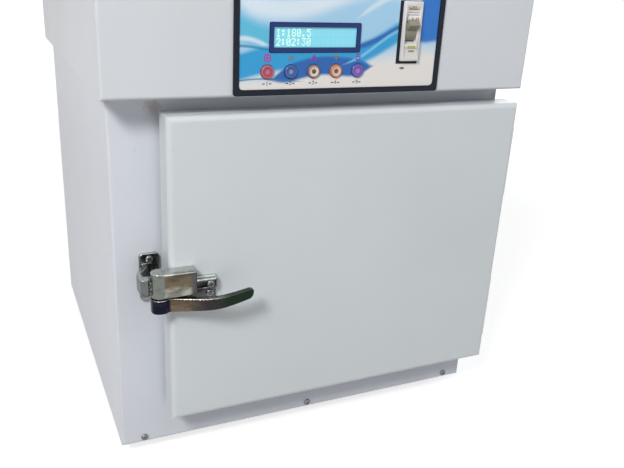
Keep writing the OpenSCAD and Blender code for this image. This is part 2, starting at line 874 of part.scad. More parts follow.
// Header: shell, floor, rear cover, screws

floor_x0 = left_x + clear;
floor_x1 = right_x - clear;
floor_y0 = face_y + header_lip + clear;
cover_y = back_y - sheet;
inlet_in = 60;
inlet_up = 40;
inlet_x = left_x + inlet_in;
inlet_z = header_z0 + inlet_up;
inlet_w = 28;
inlet_h = 20;
inlet_depth = 22;
inlet_wall = 1.8;
inlet_lip = 2;
inlet_screw_half = 20;
cover_screw_in = 7;
cover_screw_up = 8;
vent_slot_w = 40;
vent_slot_h = 4;
vent_slot_x = mid_x + 20;
vent_slot_pitch_x = 46;
vent_slot_up = 30;
vent_slot_pitch = 10;

module header_screw_places() {
    for (x = [header_x0 + cover_screw_in, header_x1 - cover_screw_in],
         z = [header_z0 + cover_screw_up, header_z1 - cover_screw_up])
        translate([x, back_y, z]) facing_back() children();
}

module header_shell() {
    rear_lip = 12;
    color("gainsboro") difference() {
        translate([header_x0, face_y, header_z0])
            front_round_box(header_w, cover_y - face_y, header_h, bend_r);
        translate([header_x0 + sheet, face_y + sheet, header_z0 + sheet])
            cube([header_w - 2 * sheet, cover_y - face_y - 2 * sheet, header_h - 2 * sheet]);
        translate([header_x0 + rear_lip, cover_y - 2 * sheet, header_z0 + sheet])
            cube([header_w - 2 * rear_lip, 3 * sheet, header_h - rear_lip - sheet]);
        translate([left_x, face_y + header_lip, header_z0 - cut])
            cube([cabinet_w, cover_y - face_y - header_lip + cut, sheet + 2 * cut]);
        header_screw_places() screw_hole(8);
        control_cuts(2 * sheet + cut);
    }
}

module header_floor() {
    color("gainsboro") translate([floor_x0, floor_y0, header_z0])
        cube([floor_x1 - floor_x0, cover_y - floor_y0 - clear, sheet]);
}

module inlet_place() {
    translate([inlet_x, back_y, inlet_z]) children();
}

module inlet_screw_places() {
    for (side = [-1, 1])
        inlet_place() translate([side * inlet_screw_half, inlet_lip, 0]) facing_back() children();
}

module header_rear_cover() {
    color("gainsboro") difference() {
        translate([header_x0, cover_y, header_z0]) cube([header_w, sheet, header_h]);
        header_screw_places() screw_hole(8);
        inlet_screw_places() screw_hole(8);
        inlet_place() translate([-inlet_w / 2 - clear, -sheet - cut, -inlet_h / 2 - clear])
            cube([inlet_w + 2 * clear, sheet + 2 * cut, inlet_h + 2 * clear]);
        for (column = [0 : 2], row = [0 : 4])
            translate([vent_slot_x + column * vent_slot_pitch_x, cover_y - cut,
                header_z0 + vent_slot_up + row * vent_slot_pitch])
                cube([vent_slot_w, sheet + 2 * cut, vent_slot_h]);
    }
}

module header_screws() {
    color("silver") header_screw_places() screw(4);
}

// Control plate. Places are measured from the header's bottom front edge, at the cabinet's middle

plate_z0 = header_z0 + 1;
plate_mid_z = plate_z0 + plate_h / 2;
display_x = mid_x - 22;
display_z = header_z0 + 41;
buttons_x = mid_x - 23;
buttons_z = header_z0 + 17.5;
breaker_x = mid_x + 54;
breaker_z = header_z0 + 22.5 + nose_h / 2;
pocket_gap = 0.4;
nose_out = 4;
board_in = 16;
board_y = face_y + board_in;
board_t = 1.6;
display_board_y = face_y + sheet + 5;
button_out = 1.6;
button_flange = 1;
button_flange_r = button_r + 0.9;
board_ends = 19.4;
board_w = 4 * button_pitch + 2 * board_ends;
board_h = 20;
board_post_in = 5;
switch_w = 6;
switch_t = 4;
stem_r = 1.6;

function button_x(i) = buttons_x + (i - 2) * button_pitch;

module button_places() {
    for (i = [0 : 4]) translate([button_x(i), face_y, buttons_z]) children();
}

// The openings that the controls pass through, cut to the given depth behind the face
module control_cuts(depth) {
    translate([display_x, face_y - frame_out - cut, display_z])
        front_slab(display_w + 2 * pocket_gap, display_h + 2 * pocket_gap,
            depth + frame_out + cut, 1);
    button_places() translate([0, -frame_out - cut, 0])
        bar_y(button_r + pocket_gap, depth + frame_out + cut);
    translate([breaker_x, face_y - frame_out - cut, breaker_z])
        front_slab(breaker_w + 2 * pocket_gap, nose_h + 2 * pocket_gap,
            depth + frame_out + cut, 0.5);
}

module plate_frame() {
    color("#15181f") translate([mid_x, face_y - frame_out, plate_mid_z]) difference() {
        front_slab(plate_w, plate_h, frame_out, 2);
        translate([0, -cut, 0])
            front_slab(plate_w - 2 * frame_w, plate_h - 2 * frame_w, frame_out + 2 * cut, 3);
    }
}

module control_overlay() {
    color("skyblue") difference() {
        translate([mid_x, face_y - overlay_t, plate_mid_z])
            front_slab(plate_w - 2 * frame_w - 2 * clear, plate_h - 2 * frame_w - 2 * clear,
                overlay_t, 3);
        control_cuts(cut);
    }
}

module display_frame() {
    color("#0b1d4d") translate([display_x, face_y - frame_out, display_z]) difference() {
        front_slab(display_w, display_h, frame_out + sheet + 1, 1);
        translate([0, -cut, 0])
            front_slab(display_w - 2 * display_rim, display_h - 2 * display_rim,
                frame_out + sheet + 1 + 2 * cut, 0.5);
    }
}

module display_glass() {
    color("cyan") translate([display_x, face_y - 0.4, display_z])
        front_slab(display_w - 2 * display_rim - 2 * clear, display_h - 2 * display_rim - 2 * clear,
            sheet + 1.4, 0.3);
}

module display_board() {
    can_t = 4;
    can_over = 2;
    edge_w = 4.75;
    edge_h = 7.5;
    color("darkgreen") translate([display_x, 0, display_z]) {
        translate([0, face_y + sheet + 1, 0])
            front_slab(display_w + 2 * clear, display_h + 2 * can_over, can_t, 1);
        translate([0, display_board_y, 0])
            front_slab(display_w + 2 * edge_w, display_h + 2 * edge_h, board_t, 1);
    }
}

module control_board() {
    post_r = 2;
    color("green") {
        translate([buttons_x, board_y, buttons_z + 1]) front_slab(board_w, board_h, board_t, 1);
        for (side = [-1, 1])
            translate([buttons_x + side * (board_w / 2 - board_post_in), face_y + sheet, buttons_z])
            bar_y(post_r, board_y - face_y - sheet + 0.5);
    }
}

module tact_switches() {
    color("#1a1a1a") for (i = [0 : 4]) translate([button_x(i), board_y - switch_t, buttons_z])
        front_slab(switch_w, switch_w, switch_t, 0.5);
}

// A push button: cap, retaining flange behind the sheet, and a stem down to its switch
module push_button(i, shade) {
    stem_end = board_y - switch_t - button_travel - clear;
    flange_y = face_y + sheet + clear;
    color(shade) translate([button_x(i), 0, buttons_z]) {
        translate([0, face_y - overlay_t - button_out, 0]) bar_y(button_r - 0.6, 0.8);
        translate([0, face_y - overlay_t - button_out + 0.6, 0])
            bar_y(button_r, flange_y - face_y + overlay_t + button_out - 0.6);
        translate([0, flange_y, 0]) bar_y(button_flange_r, button_flange);
        translate([0, flange_y, 0]) bar_y(stem_r, stem_end - flange_y);
    }
}

module button_1() { push_button(0, "firebrick"); }
module button_2() { push_button(1, "royalblue"); }
module button_3() { push_button(2, "wheat"); }
module button_4() { push_button(3, "orange"); }
module button_5() { push_button(4, "mediumpurple"); }

// Circuit breaker: the nose stands through the plate, the toggle turns in a slot of the nose

toggle_r = 6;
toggle_y = face_y - nose_out + 5.6;
toggle_w = 9;
toggle_gap = 0.3;
window_half = 8;
breaker_body_y = face_y + sheet + 1;
breaker_body_d = 40;
breaker_body_h = 80;
toggle_pin_r = 1.2;

module breaker_case() {
    color("whitesmoke") difference() {
        union() {
            translate([breaker_x, face_y - nose_out, breaker_z])
                front_slab(breaker_w, nose_h, breaker_body_y - face_y + nose_out + 1, 0.5);
            translate([breaker_x, breaker_body_y, breaker_z])
                front_slab(breaker_w, breaker_body_h, breaker_body_d, 0.5);
        }
        translate([breaker_x - toggle_w / 2 - toggle_gap, toggle_y, breaker_z])
            rotate([0, 90, 0]) cylinder(r = toggle_r + toggle_gap, h = toggle_w + 2 * toggle_gap);
        translate([breaker_x - toggle_w / 2 - toggle_gap, face_y - nose_out - cut,
            breaker_z - window_half])
            cube([toggle_w + 2 * toggle_gap, toggle_y - face_y + nose_out + cut - 1.5,
                2 * window_half]);
    }
    color("gray") for (side = [-1, 1])
        translate([breaker_x + side * (toggle_w / 2 + toggle_gap + 0.5), toggle_y, breaker_z])
            rotate([0, 90, 0]) translate([0, 0, -1.5]) cylinder(r = toggle_pin_r, h = 3);
}

module breaker_toggle() {
    lever_reach = 12;
    lever_t = 4;
    lift = 38;
    color("darkslategray") difference() {
        translate([breaker_x - toggle_w / 2, toggle_y, breaker_z]) {
            rotate([0, 90, 0]) cylinder(r = toggle_r, h = toggle_w);
            rotate([-lift, 0, 0]) translate([0, -lever_reach, -lever_t / 2])
                cube([toggle_w, lever_reach, lever_t]);
        }
        translate([breaker_x - toggle_w, toggle_y, breaker_z]) rotate([0, 90, 0])
            cylinder(r = toggle_pin_r + running, h = 2 * toggle_w);
    }
}

module breaker_rail() {
    rail_y = breaker_body_y + breaker_body_d;
    rail_h = 35;
    rail_len = 40;
    stay_t = 2;
    foot_len = 20;
    color("silver") {
        translate([breaker_x - rail_len / 2, rail_y, breaker_z - rail_h / 2])
            cube([rail_len, 1, rail_h]);
        translate([breaker_x - rail_len / 2, rail_y + 1, header_z0 + sheet])
            cube([rail_len, stay_t, breaker_z - header_z0 - sheet + rail_h / 2]);
        translate([breaker_x - rail_len / 2, rail_y + 1, header_z0 + sheet])
            cube([rail_len, foot_len, stay_t]);
    }
}

// Electrical parts on the header floor, placed from the cabinet's left side and its back

sink_in = 71.5;
sink_from_back = 185;
sink_w = 60;
sink_base_t = 5;
sink_h = 30;
fin_t = 2;
fins = 9;
relay_gap = 0.5;
relay_w = 24.5;
relay_d = 45;
relay_h = 30;
core_in = 186.5;
core_from_back = 165;
core_w = 45;
core_d = 38;
coil_in = 8;
coil_w = 29;
coil_d = 50;
coil_h = 26;
block_in = 136.5;
block_from_back = 85;
block_ways = 6;
way_pitch = 12.6;
way_w = 10;
block_d = 22;
block_h = 18;

module on_floor(inward, from_back) {
    translate([left_x + inward, back_y - from_back, header_z0 + sheet]) children();
}

module relay_heat_sink() {
    fin_pitch = (sink_w - fin_t) / (fins - 1);
    color("silver") on_floor(sink_in, sink_from_back) {
        cube([sink_w, sink_w, sink_base_t]);
        for (i = [0 : fins - 1]) translate([i * fin_pitch, 0, sink_base_t - 1])
            cube([fin_t, sink_w, sink_h - sink_base_t + 1]);
    }
}

module relay() {
    color("#262626") on_floor(sink_in - relay_gap - relay_w, sink_from_back - 10)
        cube([relay_w, relay_d, relay_h]);
}

module transformer() {
    color("dimgray") on_floor(core_in, core_from_back) {
        cube([core_w, core_d, core_d]);
        translate([coil_in, (core_d - coil_d) / 2, (core_d - coil_h) / 2])
            cube([coil_w, coil_d, coil_h]);
    }
}

module terminal_block() {
    wall = way_pitch - way_w;
    color("beige") on_floor(block_in, block_from_back) difference() {
        cube([block_ways * way_pitch + wall / 2, block_d, block_h]);
        for (i = [0 : block_ways - 1])
            translate([wall - 0.6 + i * way_pitch, -cut, block_h / 2]) cube([way_w, way_w, way_w]);
    }
}

module power_inlet() {
    lip_over = 5;
    floor_t = 4;
    color("#1c1c1c") inlet_place() difference() {
        union() {
            translate([-inlet_w / 2, -inlet_depth, -inlet_h / 2])
                cube([inlet_w, inlet_depth + inlet_lip / 2, inlet_h]);
            front_slab(2 * inlet_screw_half + 2 * lip_over, inlet_h + inlet_lip * 2, inlet_lip, 3);
        }
        translate([-inlet_w / 2 + inlet_wall, -inlet_depth + floor_t, -inlet_h / 2 + inlet_wall])
            cube([inlet_w - 2 * inlet_wall, inlet_depth, inlet_h - 2 * inlet_wall]);
        for (side = [-1, 1]) translate([side * inlet_screw_half, inlet_lip, 0])
            facing_back() screw_hole(8);
    }
}

module inlet_blades() {
    blade_w = 2;
    blade_h = 4;
    blade_len = 14;
    blade_side = 7;
    color("goldenrod") inlet_place() for (p = [[-blade_side, 0.5], [0, 3.5], [blade_side, 0.5]])
        translate([p[0] - blade_w / 2, blade_h - inlet_depth, p[1] - blade_w / 2])
            cube([blade_w, blade_len, blade_h]);
}

module inlet_screws() {
    color("silver") inlet_screw_places() screw(6);
}

cabinet_wrap();
rear_panel();
rear_screws();
front_screws();
rubber_feet();
foot_screws();
chamber_liner();
insulation_jacket();
side_rack_left();
side_rack_right();
shelf_lower();
shelf_upper();
floor_plate();
heater_tube();
heater_flange();
temperature_probe();
latch_keeper();
keeper_screws();
cabinet_hinge_leaves();
hinge_pins();
cabinet_hinge_screws();
header_shell();
header_floor();
header_rear_cover();
header_screws();
plate_frame();
control_overlay();
display_frame();
display_glass();
display_board();
control_board();
tact_switches();
breaker_case();
breaker_toggle();
breaker_rail();
relay_heat_sink();
relay();
transformer();
terminal_block();
power_inlet();
inlet_blades();
inlet_screws();
door_skin();
door_insulation();
door_liner();
door_gasket();
liner_screws();
door_hinge_leaves();
door_hinge_screws();
latch_body();
latch_screws();
latch_lever();
latch_spindle();
latch_cam();
button_1();
button_2();
button_3();
button_4();
button_5();
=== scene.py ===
"""Looks of a bench-top dry heat sterilizer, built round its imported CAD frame.

Places are in metres in the row frame. Where a docstring says millimetres, the sizes become metres
when a mesh is made.
"""

from __future__ import annotations
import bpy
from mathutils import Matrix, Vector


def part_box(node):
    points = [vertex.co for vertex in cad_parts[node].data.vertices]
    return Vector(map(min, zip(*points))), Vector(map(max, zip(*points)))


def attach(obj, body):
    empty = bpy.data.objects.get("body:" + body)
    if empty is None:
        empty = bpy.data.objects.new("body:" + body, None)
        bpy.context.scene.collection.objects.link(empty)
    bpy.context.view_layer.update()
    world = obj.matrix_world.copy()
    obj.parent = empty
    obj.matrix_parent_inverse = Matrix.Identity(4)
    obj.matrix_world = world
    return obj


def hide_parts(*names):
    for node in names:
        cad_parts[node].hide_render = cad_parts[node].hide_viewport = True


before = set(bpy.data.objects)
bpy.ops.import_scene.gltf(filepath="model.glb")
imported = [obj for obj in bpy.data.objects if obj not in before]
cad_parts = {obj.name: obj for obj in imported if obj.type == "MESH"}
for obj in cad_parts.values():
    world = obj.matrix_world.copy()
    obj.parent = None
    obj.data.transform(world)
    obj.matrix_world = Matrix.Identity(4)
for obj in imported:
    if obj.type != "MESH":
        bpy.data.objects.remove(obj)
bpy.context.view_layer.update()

import logging
import math
from dataclasses import dataclass, field, replace
from enum import Enum
from typing import Sequence

import bmesh
import bpy
from mathutils import Matrix, Vector

Material = bpy.types.Material
Node = bpy.types.Node
Piece = bpy.types.Object
Socket = bpy.types.NodeSocket
Colour = tuple[float, float, float]
Value = float | Colour | Socket
Point2 = tuple[float, float]
Outline = Sequence[Point2]
Box = tuple[Vector, Vector]

MM = 0.001
MICRON = 1e-6
NO_TURN = Matrix.Identity(4)
WHITE: Colour = (1.0, 1.0, 1.0)
LOG = logging.getLogger("sterilizer")


class Grain(Enum):
    """The row axis along which a sheet was brushed, as the stretch of its noise."""

    ALONG_X = (0.04, 1.0, 1.0)
    ALONG_Y = (1.0, 0.04, 1.0)


class Side(Enum):
    """The way that a piece faces, as a turn from +Z."""

    FRONT = Matrix.Rotation(math.radians(90), 4, "X")
    BACK = Matrix.Rotation(math.radians(-90), 4, "X")
    RIGHT = Matrix.Rotation(math.radians(90), 4, "Y")
    DOWN = Matrix.Rotation(math.radians(180), 4, "X")


class Nodes:
    """A node tree that is built from nothing."""

    def __init__(self, tree: bpy.types.NodeTree) -> None:
        """Clears a tree, which is then filled."""
        self.tree = tree
        tree.nodes.clear()

    def link(self, value: Value, socket: Socket) -> None:
        """Links an output to a socket, or sets a constant on it.

        Args:
            value: The output, number, vector or colour. A colour is set as an opaque one.
            socket: The input socket.
        """
        if isinstance(value, Socket):
            self.tree.links.new(value, socket)
        else:
            socket.default_value = (*value, 1.0) if socket.type == "RGBA" else value

    def node(self, kind: str, *values: Value, **settings: str) -> Node:
        """Adds a node.

        Args:
            kind: Blender's name of its kind.
            *values: What its first input sockets get, in their order.
            **settings: The node's own settings, such as its operation.

        Returns:
            The node.
        """
        node = self.tree.nodes.new(kind)
        for name, setting in settings.items():
            setattr(node, name, setting)
        for value, socket in zip(values, node.inputs):
            self.link(value, socket)
        return node

    def math(self, operation: str, *values: Value) -> Socket:
        """Returns the result of one of Blender's math operations."""
        return self.node("ShaderNodeMath", *values, operation=operation).outputs[0]

    def seen_white(self) -> Socket:
        """Tells the rays that should see plain white from those that light the part.

        Returns:
            An output that is 1 for the first ones and 0 for the others.
        """
        path = self.node("ShaderNodeLightPath")
        total = path.outputs["Is Camera Ray"]
        for name in ("Is Glossy Ray", "Is Transmission Ray"):
            total = self.math("MAXIMUM", total, path.outputs[name])
        return total


class Shader(Nodes):
    """One node material, built round a Principled shader."""

    def __init__(self, name: str) -> None:
        """Starts a material with a Principled shader and texture coordinates.

        Args:
            name: The material's name.
        """
        self.material = bpy.data.materials.new(name)
        self.material.use_nodes = True
        super().__init__(self.material.node_tree)
        self.bsdf = self.node("ShaderNodeBsdfPrincipled")
        self.output = self.node("ShaderNodeOutputMaterial", self.bsdf.outputs[0])
        coordinates = self.node("ShaderNodeTexCoord")
        self.place = coordinates.outputs["Object"]
        self.normal = coordinates.outputs["Normal"]

    def noise(self, scale: float, detail: float = 2.0, rough: float = 0.5,
              stretch: Sequence[float] = (1.0, 1.0, 1.0)) -> Socket:
        """Adds a noise texture.

        Args:
            scale: Features per metre, roughly.
            detail: Octaves.
            rough: How strong the fine octaves are.
            stretch: Scale on each axis.

        Returns:
            Its factor.
        """
        mapped = self.node("ShaderNodeMapping", self.place)
        mapped.inputs["Scale"].default_value = stretch
        node = self.node("ShaderNodeTexNoise", mapped.outputs[0])
        for name, value in (("Scale", scale), ("Detail", detail), ("Roughness", rough)):
            node.inputs[name].default_value = value
        return node.outputs["Fac"]

    def ranged(self, value: Value, low: float, high: float, out_low: Value = 0.0,
               out_high: Value = 1.0, smooth: bool = False) -> Socket:
        """Maps a value from one range to another, and keeps it within that.

        Args:
            value: The value.
            low: Where the first range starts.
            high: Where the first range ends.
            out_low: What the start becomes.
            out_high: What the end becomes.
            smooth: Whether the change eases in and out.

        Returns:
            The mapped value.
        """
        kind = "SMOOTHSTEP" if smooth else "LINEAR"
        bounds = (low, high, out_low, out_high)
        return self.node("ShaderNodeMapRange", value, *bounds, interpolation_type=kind).outputs[0]

    def spread(self, noise: Socket, low: float = 0.0, high: float = 1.0) -> Socket:
        """Returns a noise, nearly all of which lies between 0.3 and 0.7, spread over a range."""
        return self.ranged(noise, 0.3, 0.7, low, high)

    def measured(self, value: Value, start: float, unit: float) -> Socket:
        """Returns how far a value is from a start, in units of a length."""
        return self.math("DIVIDE", self.math("SUBTRACT", value, start), unit)

    def mix(self, factor: Value, first: Value, second: Value) -> Socket:
        """Mixes two colours.

        Args:
            factor: The share of the second colour.
            first: The first colour.
            second: The second colour.

        Returns:
            The mixed colour.
        """
        node = self.node("ShaderNodeMix", factor, data_type="RGBA")
        inputs = [socket for socket in node.inputs if socket.type == "RGBA"]
        for colour, socket in zip((first, second), inputs):
            self.link(colour, socket)
        return next(socket for socket in node.outputs if socket.type == "RGBA")

    def clouded(self, noise: Socket, colour: Colour, dark: float, light: float) -> Socket:
        """Returns a colour that a noise makes darker and lighter by two factors."""
        return self.mix(self.spread(noise), tinted(colour, dark), tinted(colour, light))

    def split(self, vector: Socket) -> tuple[Socket, ...]:
        """Returns the outputs X, Y and Z of a vector."""
        return tuple(self.node("ShaderNodeSeparateXYZ", vector).outputs)

    def distance(self, point: Sequence[float]) -> Socket:
        """Returns how far the surface is from a point, in metres."""
        away = self.node("ShaderNodeVectorMath", self.place, tuple(point), operation="DISTANCE")
        return away.outputs["Value"]

    def edges(self) -> Socket:
        """Returns how sharply the surface bends: 0.5 is flat, more is an edge, less is a hollow."""
        return self.node("ShaderNodeNewGeometry").outputs["Pointiness"]

    def bump(self, height: Socket, depth: float, strength: float = 1.0) -> None:
        """Bumps the surface.

        Args:
            height: The height from 0 to 1.
            depth: Depth in metres.
            strength: How strong the bump is.
        """
        node = self.node("ShaderNodeBump", strength, depth)
        self.link(height, node.inputs["Height"])
        self.link(node.outputs[0], self.bsdf.inputs["Normal"])

    def set(self, **values: Value) -> None:
        """Sets or links the Principled shader's sockets, with _ for each space in a name."""
        for name, value in values.items():
            self.link(value, self.bsdf.inputs[name.replace("_", " ")])


def tinted(colour: Colour, factor: float) -> Colour:
    """Returns a colour made lighter or darker by a factor."""
    return tuple(min(1.0, channel * factor) for channel in colour)


@dataclass(frozen=True)
class Finish:
    """A finish with a name. Each kind of finish paints its own nodes."""

    name: str

    def paint(self, s: Shader) -> None:
        """Adds the finish's nodes to a material."""
        raise NotImplementedError

    def material(self) -> Material:
        """Makes the finish's material.

        Returns:
            The material.
        """
        s = Shader(self.name)
        self.paint(s)
        return s.material


@dataclass(frozen=True)
class PowderCoat(Finish):
    """Baked powder paint on sheet metal, with its fine orange peel and faint marks."""

    colour: Colour
    roughness: float = 0.38
    rust: Colour = (0.27, 0.15, 0.09)
    rusted: tuple[Vector, ...] = ()
    rust_reach: float = 9.0 * MM
    rust_ragged: float = 2.5 * MM
    peel_deep: float = 0.06 * MM

    def paint(self, s: Shader) -> None:
        """Paints the coat, its scuffs, and a soft rust stain round each rusted place.

        Args:
            s: The material.
        """
        tone = s.clouded(s.noise(9.0, 3.0), self.colour, 0.975, 1.02)
        scuff = s.ranged(s.noise(210.0, 2.0, 0.6, (1, 1, 0.35)), 0.70, 0.78, 0, 0.35)
        patch = s.ranged(s.noise(13.0), 0.52, 0.68)
        colour = s.mix(s.math("MULTIPLY", scuff, patch), tone, tinted(self.colour, 0.80))
        for corner in self.rusted:
            ragged = s.spread(s.noise(420.0, 4.0, 0.65), -self.rust_ragged, self.rust_ragged)
            reach = s.math("ADD", s.distance(corner), ragged)
            stain = s.ranged(reach, 0, self.rust_reach, 0.55, 0, True)
            colour = s.mix(stain, colour, self.rust)
        sheen = s.spread(s.noise(420.0, 3.0), self.roughness - 0.05, self.roughness + 0.07)
        s.set(Base_Color=colour, Roughness=sheen, Specular_IOR_Level=0.45)
        s.bump(s.noise(1100.0), self.peel_deep, 0.35)


@dataclass(frozen=True)
class Brushed(Finish):
    """Brushed or ground sheet steel."""

    colour: Colour
    grain: Grain = Grain.ALONG_X
    roughness: float = 0.32
    line_deep: float = 0.03 * MM

    def paint(self, s: Shader) -> None:
        """Paints the steel with fine lines and soft clouds.

        Args:
            s: The material.
        """
        line = s.noise(900.0, 4.0, 0.6, self.grain.value)
        tone = s.clouded(line, self.colour, 0.88, 1.08)
        cloud = s.ranged(s.noise(16.0), 0.35, 0.75, 0, 0.5)
        sheen = s.ranged(line, 0.25, 0.75, self.roughness - 0.08, self.roughness + 0.12)
        s.set(Base_Color=s.mix(cloud, tone, tinted(self.colour, 0.82)), Metallic=1, Roughness=sheen)
        s.bump(line, self.line_deep, 0.5)


@dataclass(frozen=True)
class Plated(Finish):
    """Bright plating over a casting or a wire, with smears and small pits."""

    colour: Colour
    roughness: float = 0.12
    tarnish: Colour = (0.30, 0.26, 0.20)
    tarnished: float = 0.35
    dent_deep: float = 0.08 * MM

    def paint(self, s: Shader) -> None:
        """Paints the plating, its pits and its tarnish.

        Args:
            s: The material.
        """
        pits = s.ranged(s.noise(1500.0, 1.0), 0.68, 0.76)
        dull = s.ranged(s.noise(70.0, 3.0, 0.6), 0.50, 0.75, 0, self.tarnished)
        smear = s.noise(120.0, 4.0, 0.65, (1, 1, 0.5))
        s.set(
            Base_Color=s.mix(dull, s.mix(pits, self.colour, self.tarnish), self.tarnish),
            Metallic=1,
            Roughness=s.ranged(smear, 0.3, 0.75, self.roughness, self.roughness + 0.18),
        )
        s.bump(s.noise(420.0, 3.0), self.dent_deep, 0.25)


@dataclass(frozen=True)
class Fade:
    """A painted reflection band that comes in along the row's X axis, from none at one place to full at
    another; its last field is how much of the painted top highlight it covers.
    """

    colour: Colour
    none_at: float
    full_at: float
    over_top: float = 0.0


@dataclass(frozen=True)
class WornChrome(Finish):
    """Plating on a casting with painted light: front and pale painted reflections, a painted highlight
    on top and on sharp edges, painted shade under it and in its creases, and dark mottle and flecks.
    """

    # front and pale: painted reflection colours. top: painted highlight. hollow: painted shade, also
    # used for the dark mottle and flecks.
    front: Colour
    pale: Colour
    top: Colour
    hollow: Colour
    pale_z: tuple[float, float]
    fades: tuple[Fade, ...] = ()
    mottled: float = 0.5
    roughness: float = 0.17
    uneven: float = 7.0 * MM
    dent_deep: float = 0.08 * MM

    def paint(self, s: Shader) -> None:
        """Paints the front and pale reflections, the painted top highlight and the painted reflection
        fades, and then the painted shade, the edge highlights, the mottle and the flecks over them.

        Args:
            s: The material.
        """
        x, _, z = s.split(s.place)
        up = s.split(s.normal)[2]
        # Painted reflection: a streaky split by height between the front and pale colours.
        reflection_streak = s.noise(75.0, 4.0, 0.6, (0.35, 1, 1.6))
        level = s.math("ADD", z, s.spread(reflection_streak, -self.uneven, self.uneven))
        face = s.mix(s.ranged(level, *self.pale_z, 1, 0, True), self.front, self.pale)
        top = self.top
        # Painted reflection fades, over the face and over part of the painted top highlight.
        for fade in self.fades:
            span = (fade.none_at, fade.full_at)
            face = s.mix(s.ranged(x, *span, 0, 1, True), face, fade.colour)
            top = s.mix(s.ranged(x, *span, 0, fade.over_top, True), top, fade.colour)
        # Painted highlight on faces that look up.
        colour = s.mix(s.ranged(up, 0.25, 0.75), face, top)
        mottle = s.noise(110.0, 3.0, 0.55, (0.45, 1, 1.5))
        fleck = s.noise(420.0, 3.0, 0.65)
        # Painted shade on down faces and in creases, painted highlight on sharp edges, then dark mottle
        # and flecks.
        for mask, painted_light_and_wear in (
            (s.ranged(up, -0.3, -0.8, 0, 0.75), self.hollow),
            (s.ranged(s.edges(), 0.40, 0.485, 0.85, 0), self.hollow),
            (s.ranged(s.edges(), 0.53, 0.62, 0, 0.6), top),
            (s.ranged(mottle, 0.54, 0.64, 0, self.mottled), self.hollow),
            (s.ranged(fleck, 0.60, 0.72, 0, 0.45), self.hollow),
        ):
            colour = s.mix(mask, colour, painted_light_and_wear)
        smear = s.noise(140.0, 4.0, 0.65)
        sheen = s.ranged(smear, 0.3, 0.75, self.roughness, self.roughness + 0.2)
        s.set(Base_Color=colour, Metallic=1, Roughness=sheen)
        s.bump(s.noise(420.0, 3.0), self.dent_deep, 0.25)


@dataclass(frozen=True)
class Moulded(Finish):
    """Moulded plastic or enamelled board, with a fine texture."""

    colour: Colour
    roughness: float = 0.42
    gloss: float = 0.5
    texture: float = 0.04 * MM

    def paint(self, s: Shader) -> None:
        """Paints the plastic.

        Args:
            s: The material.
        """
        s.set(
            Base_Color=s.clouded(s.noise(60.0, 3.0), self.colour, 0.92, 1.06),
            Roughness=s.spread(s.noise(700.0), self.roughness - 0.06, self.roughness + 0.08),
            Specular_IOR_Level=self.gloss,
        )
        s.bump(s.noise(2400.0), self.texture, 0.5)


@dataclass(frozen=True)
class Rubber(Finish):
    """Matt rubber or silicone, with a dusty bloom."""

    colour: Colour
    bloom: Colour
    texture: float = 0.1 * MM

    def paint(self, s: Shader) -> None:
        """Paints the rubber and its bloom.

        Args:
            s: The material.
        """
        dust = s.ranged(s.noise(140.0, 4.0, 0.6), 0.5, 0.8, 0, 0.4)
        s.set(
            Base_Color=s.mix(dust, self.colour, self.bloom),
            Roughness=s.spread(s.noise(500.0), 0.62, 0.85),
            Specular_IOR_Level=0.3,
        )
        s.bump(s.noise(1300.0, 3.0), self.texture, 0.5)


@dataclass(frozen=True)
class MineralWool(Finish):
    """Packed mineral wool with its lying fibres."""

    colour: Colour
    tuft_deep: float = 1.5 * MM

    def paint(self, s: Shader) -> None:
        """Paints the fibres and the tufts.

        Args:
            s: The material.
        """
        fibre = s.noise(700.0, 5.0, 0.7, (0.15, 1, 1))
        tuft = s.noise(90.0, 4.0, 0.6)
        tone = s.clouded(fibre, self.colour, 0.7, 1.25)
        shade = s.ranged(tuft, 0.4, 0.7, 0, 0.5)
        s.set(Base_Color=s.mix(shade, tone, tinted(self.colour, 0.55)), Roughness=0.95)
        s.bump(s.math("ADD", fibre, tuft), self.tuft_deep, 0.8)


@dataclass(frozen=True)
class CircuitBoard(Finish):
    """Solder mask with tracks and pads under it."""

    mask: Colour
    track: Colour
    half_pitch: float = 1.3 * MM
    half_run: float = 6.1 * MM
    wander: float = 10.0 * MM
    track_deep: float = 0.04 * MM

    def paint(self, s: Shader) -> None:
        """Paints rows of tracks that wander a little and break off.

        Args:
            s: The material.
        """
        x, _, z = s.split(s.place)
        drift = s.math("MULTIPLY", s.noise(30.0, 0.0), self.wander)
        rows = s.math("PINGPONG", s.math("ADD", z, drift), self.half_pitch)
        lines = s.ranged(rows, 0.8 * MM, 0.9 * MM)
        breaks = s.ranged(s.math("PINGPONG", x, self.half_run), 4.9 * MM, 5.2 * MM, 1, 0)
        s.set(
            Base_Color=s.mix(s.math("MULTIPLY", lines, breaks), self.mask, self.track),
            Roughness=s.spread(s.noise(300.0), 0.28, 0.4),
        )
        s.bump(lines, self.track_deep, 0.6)


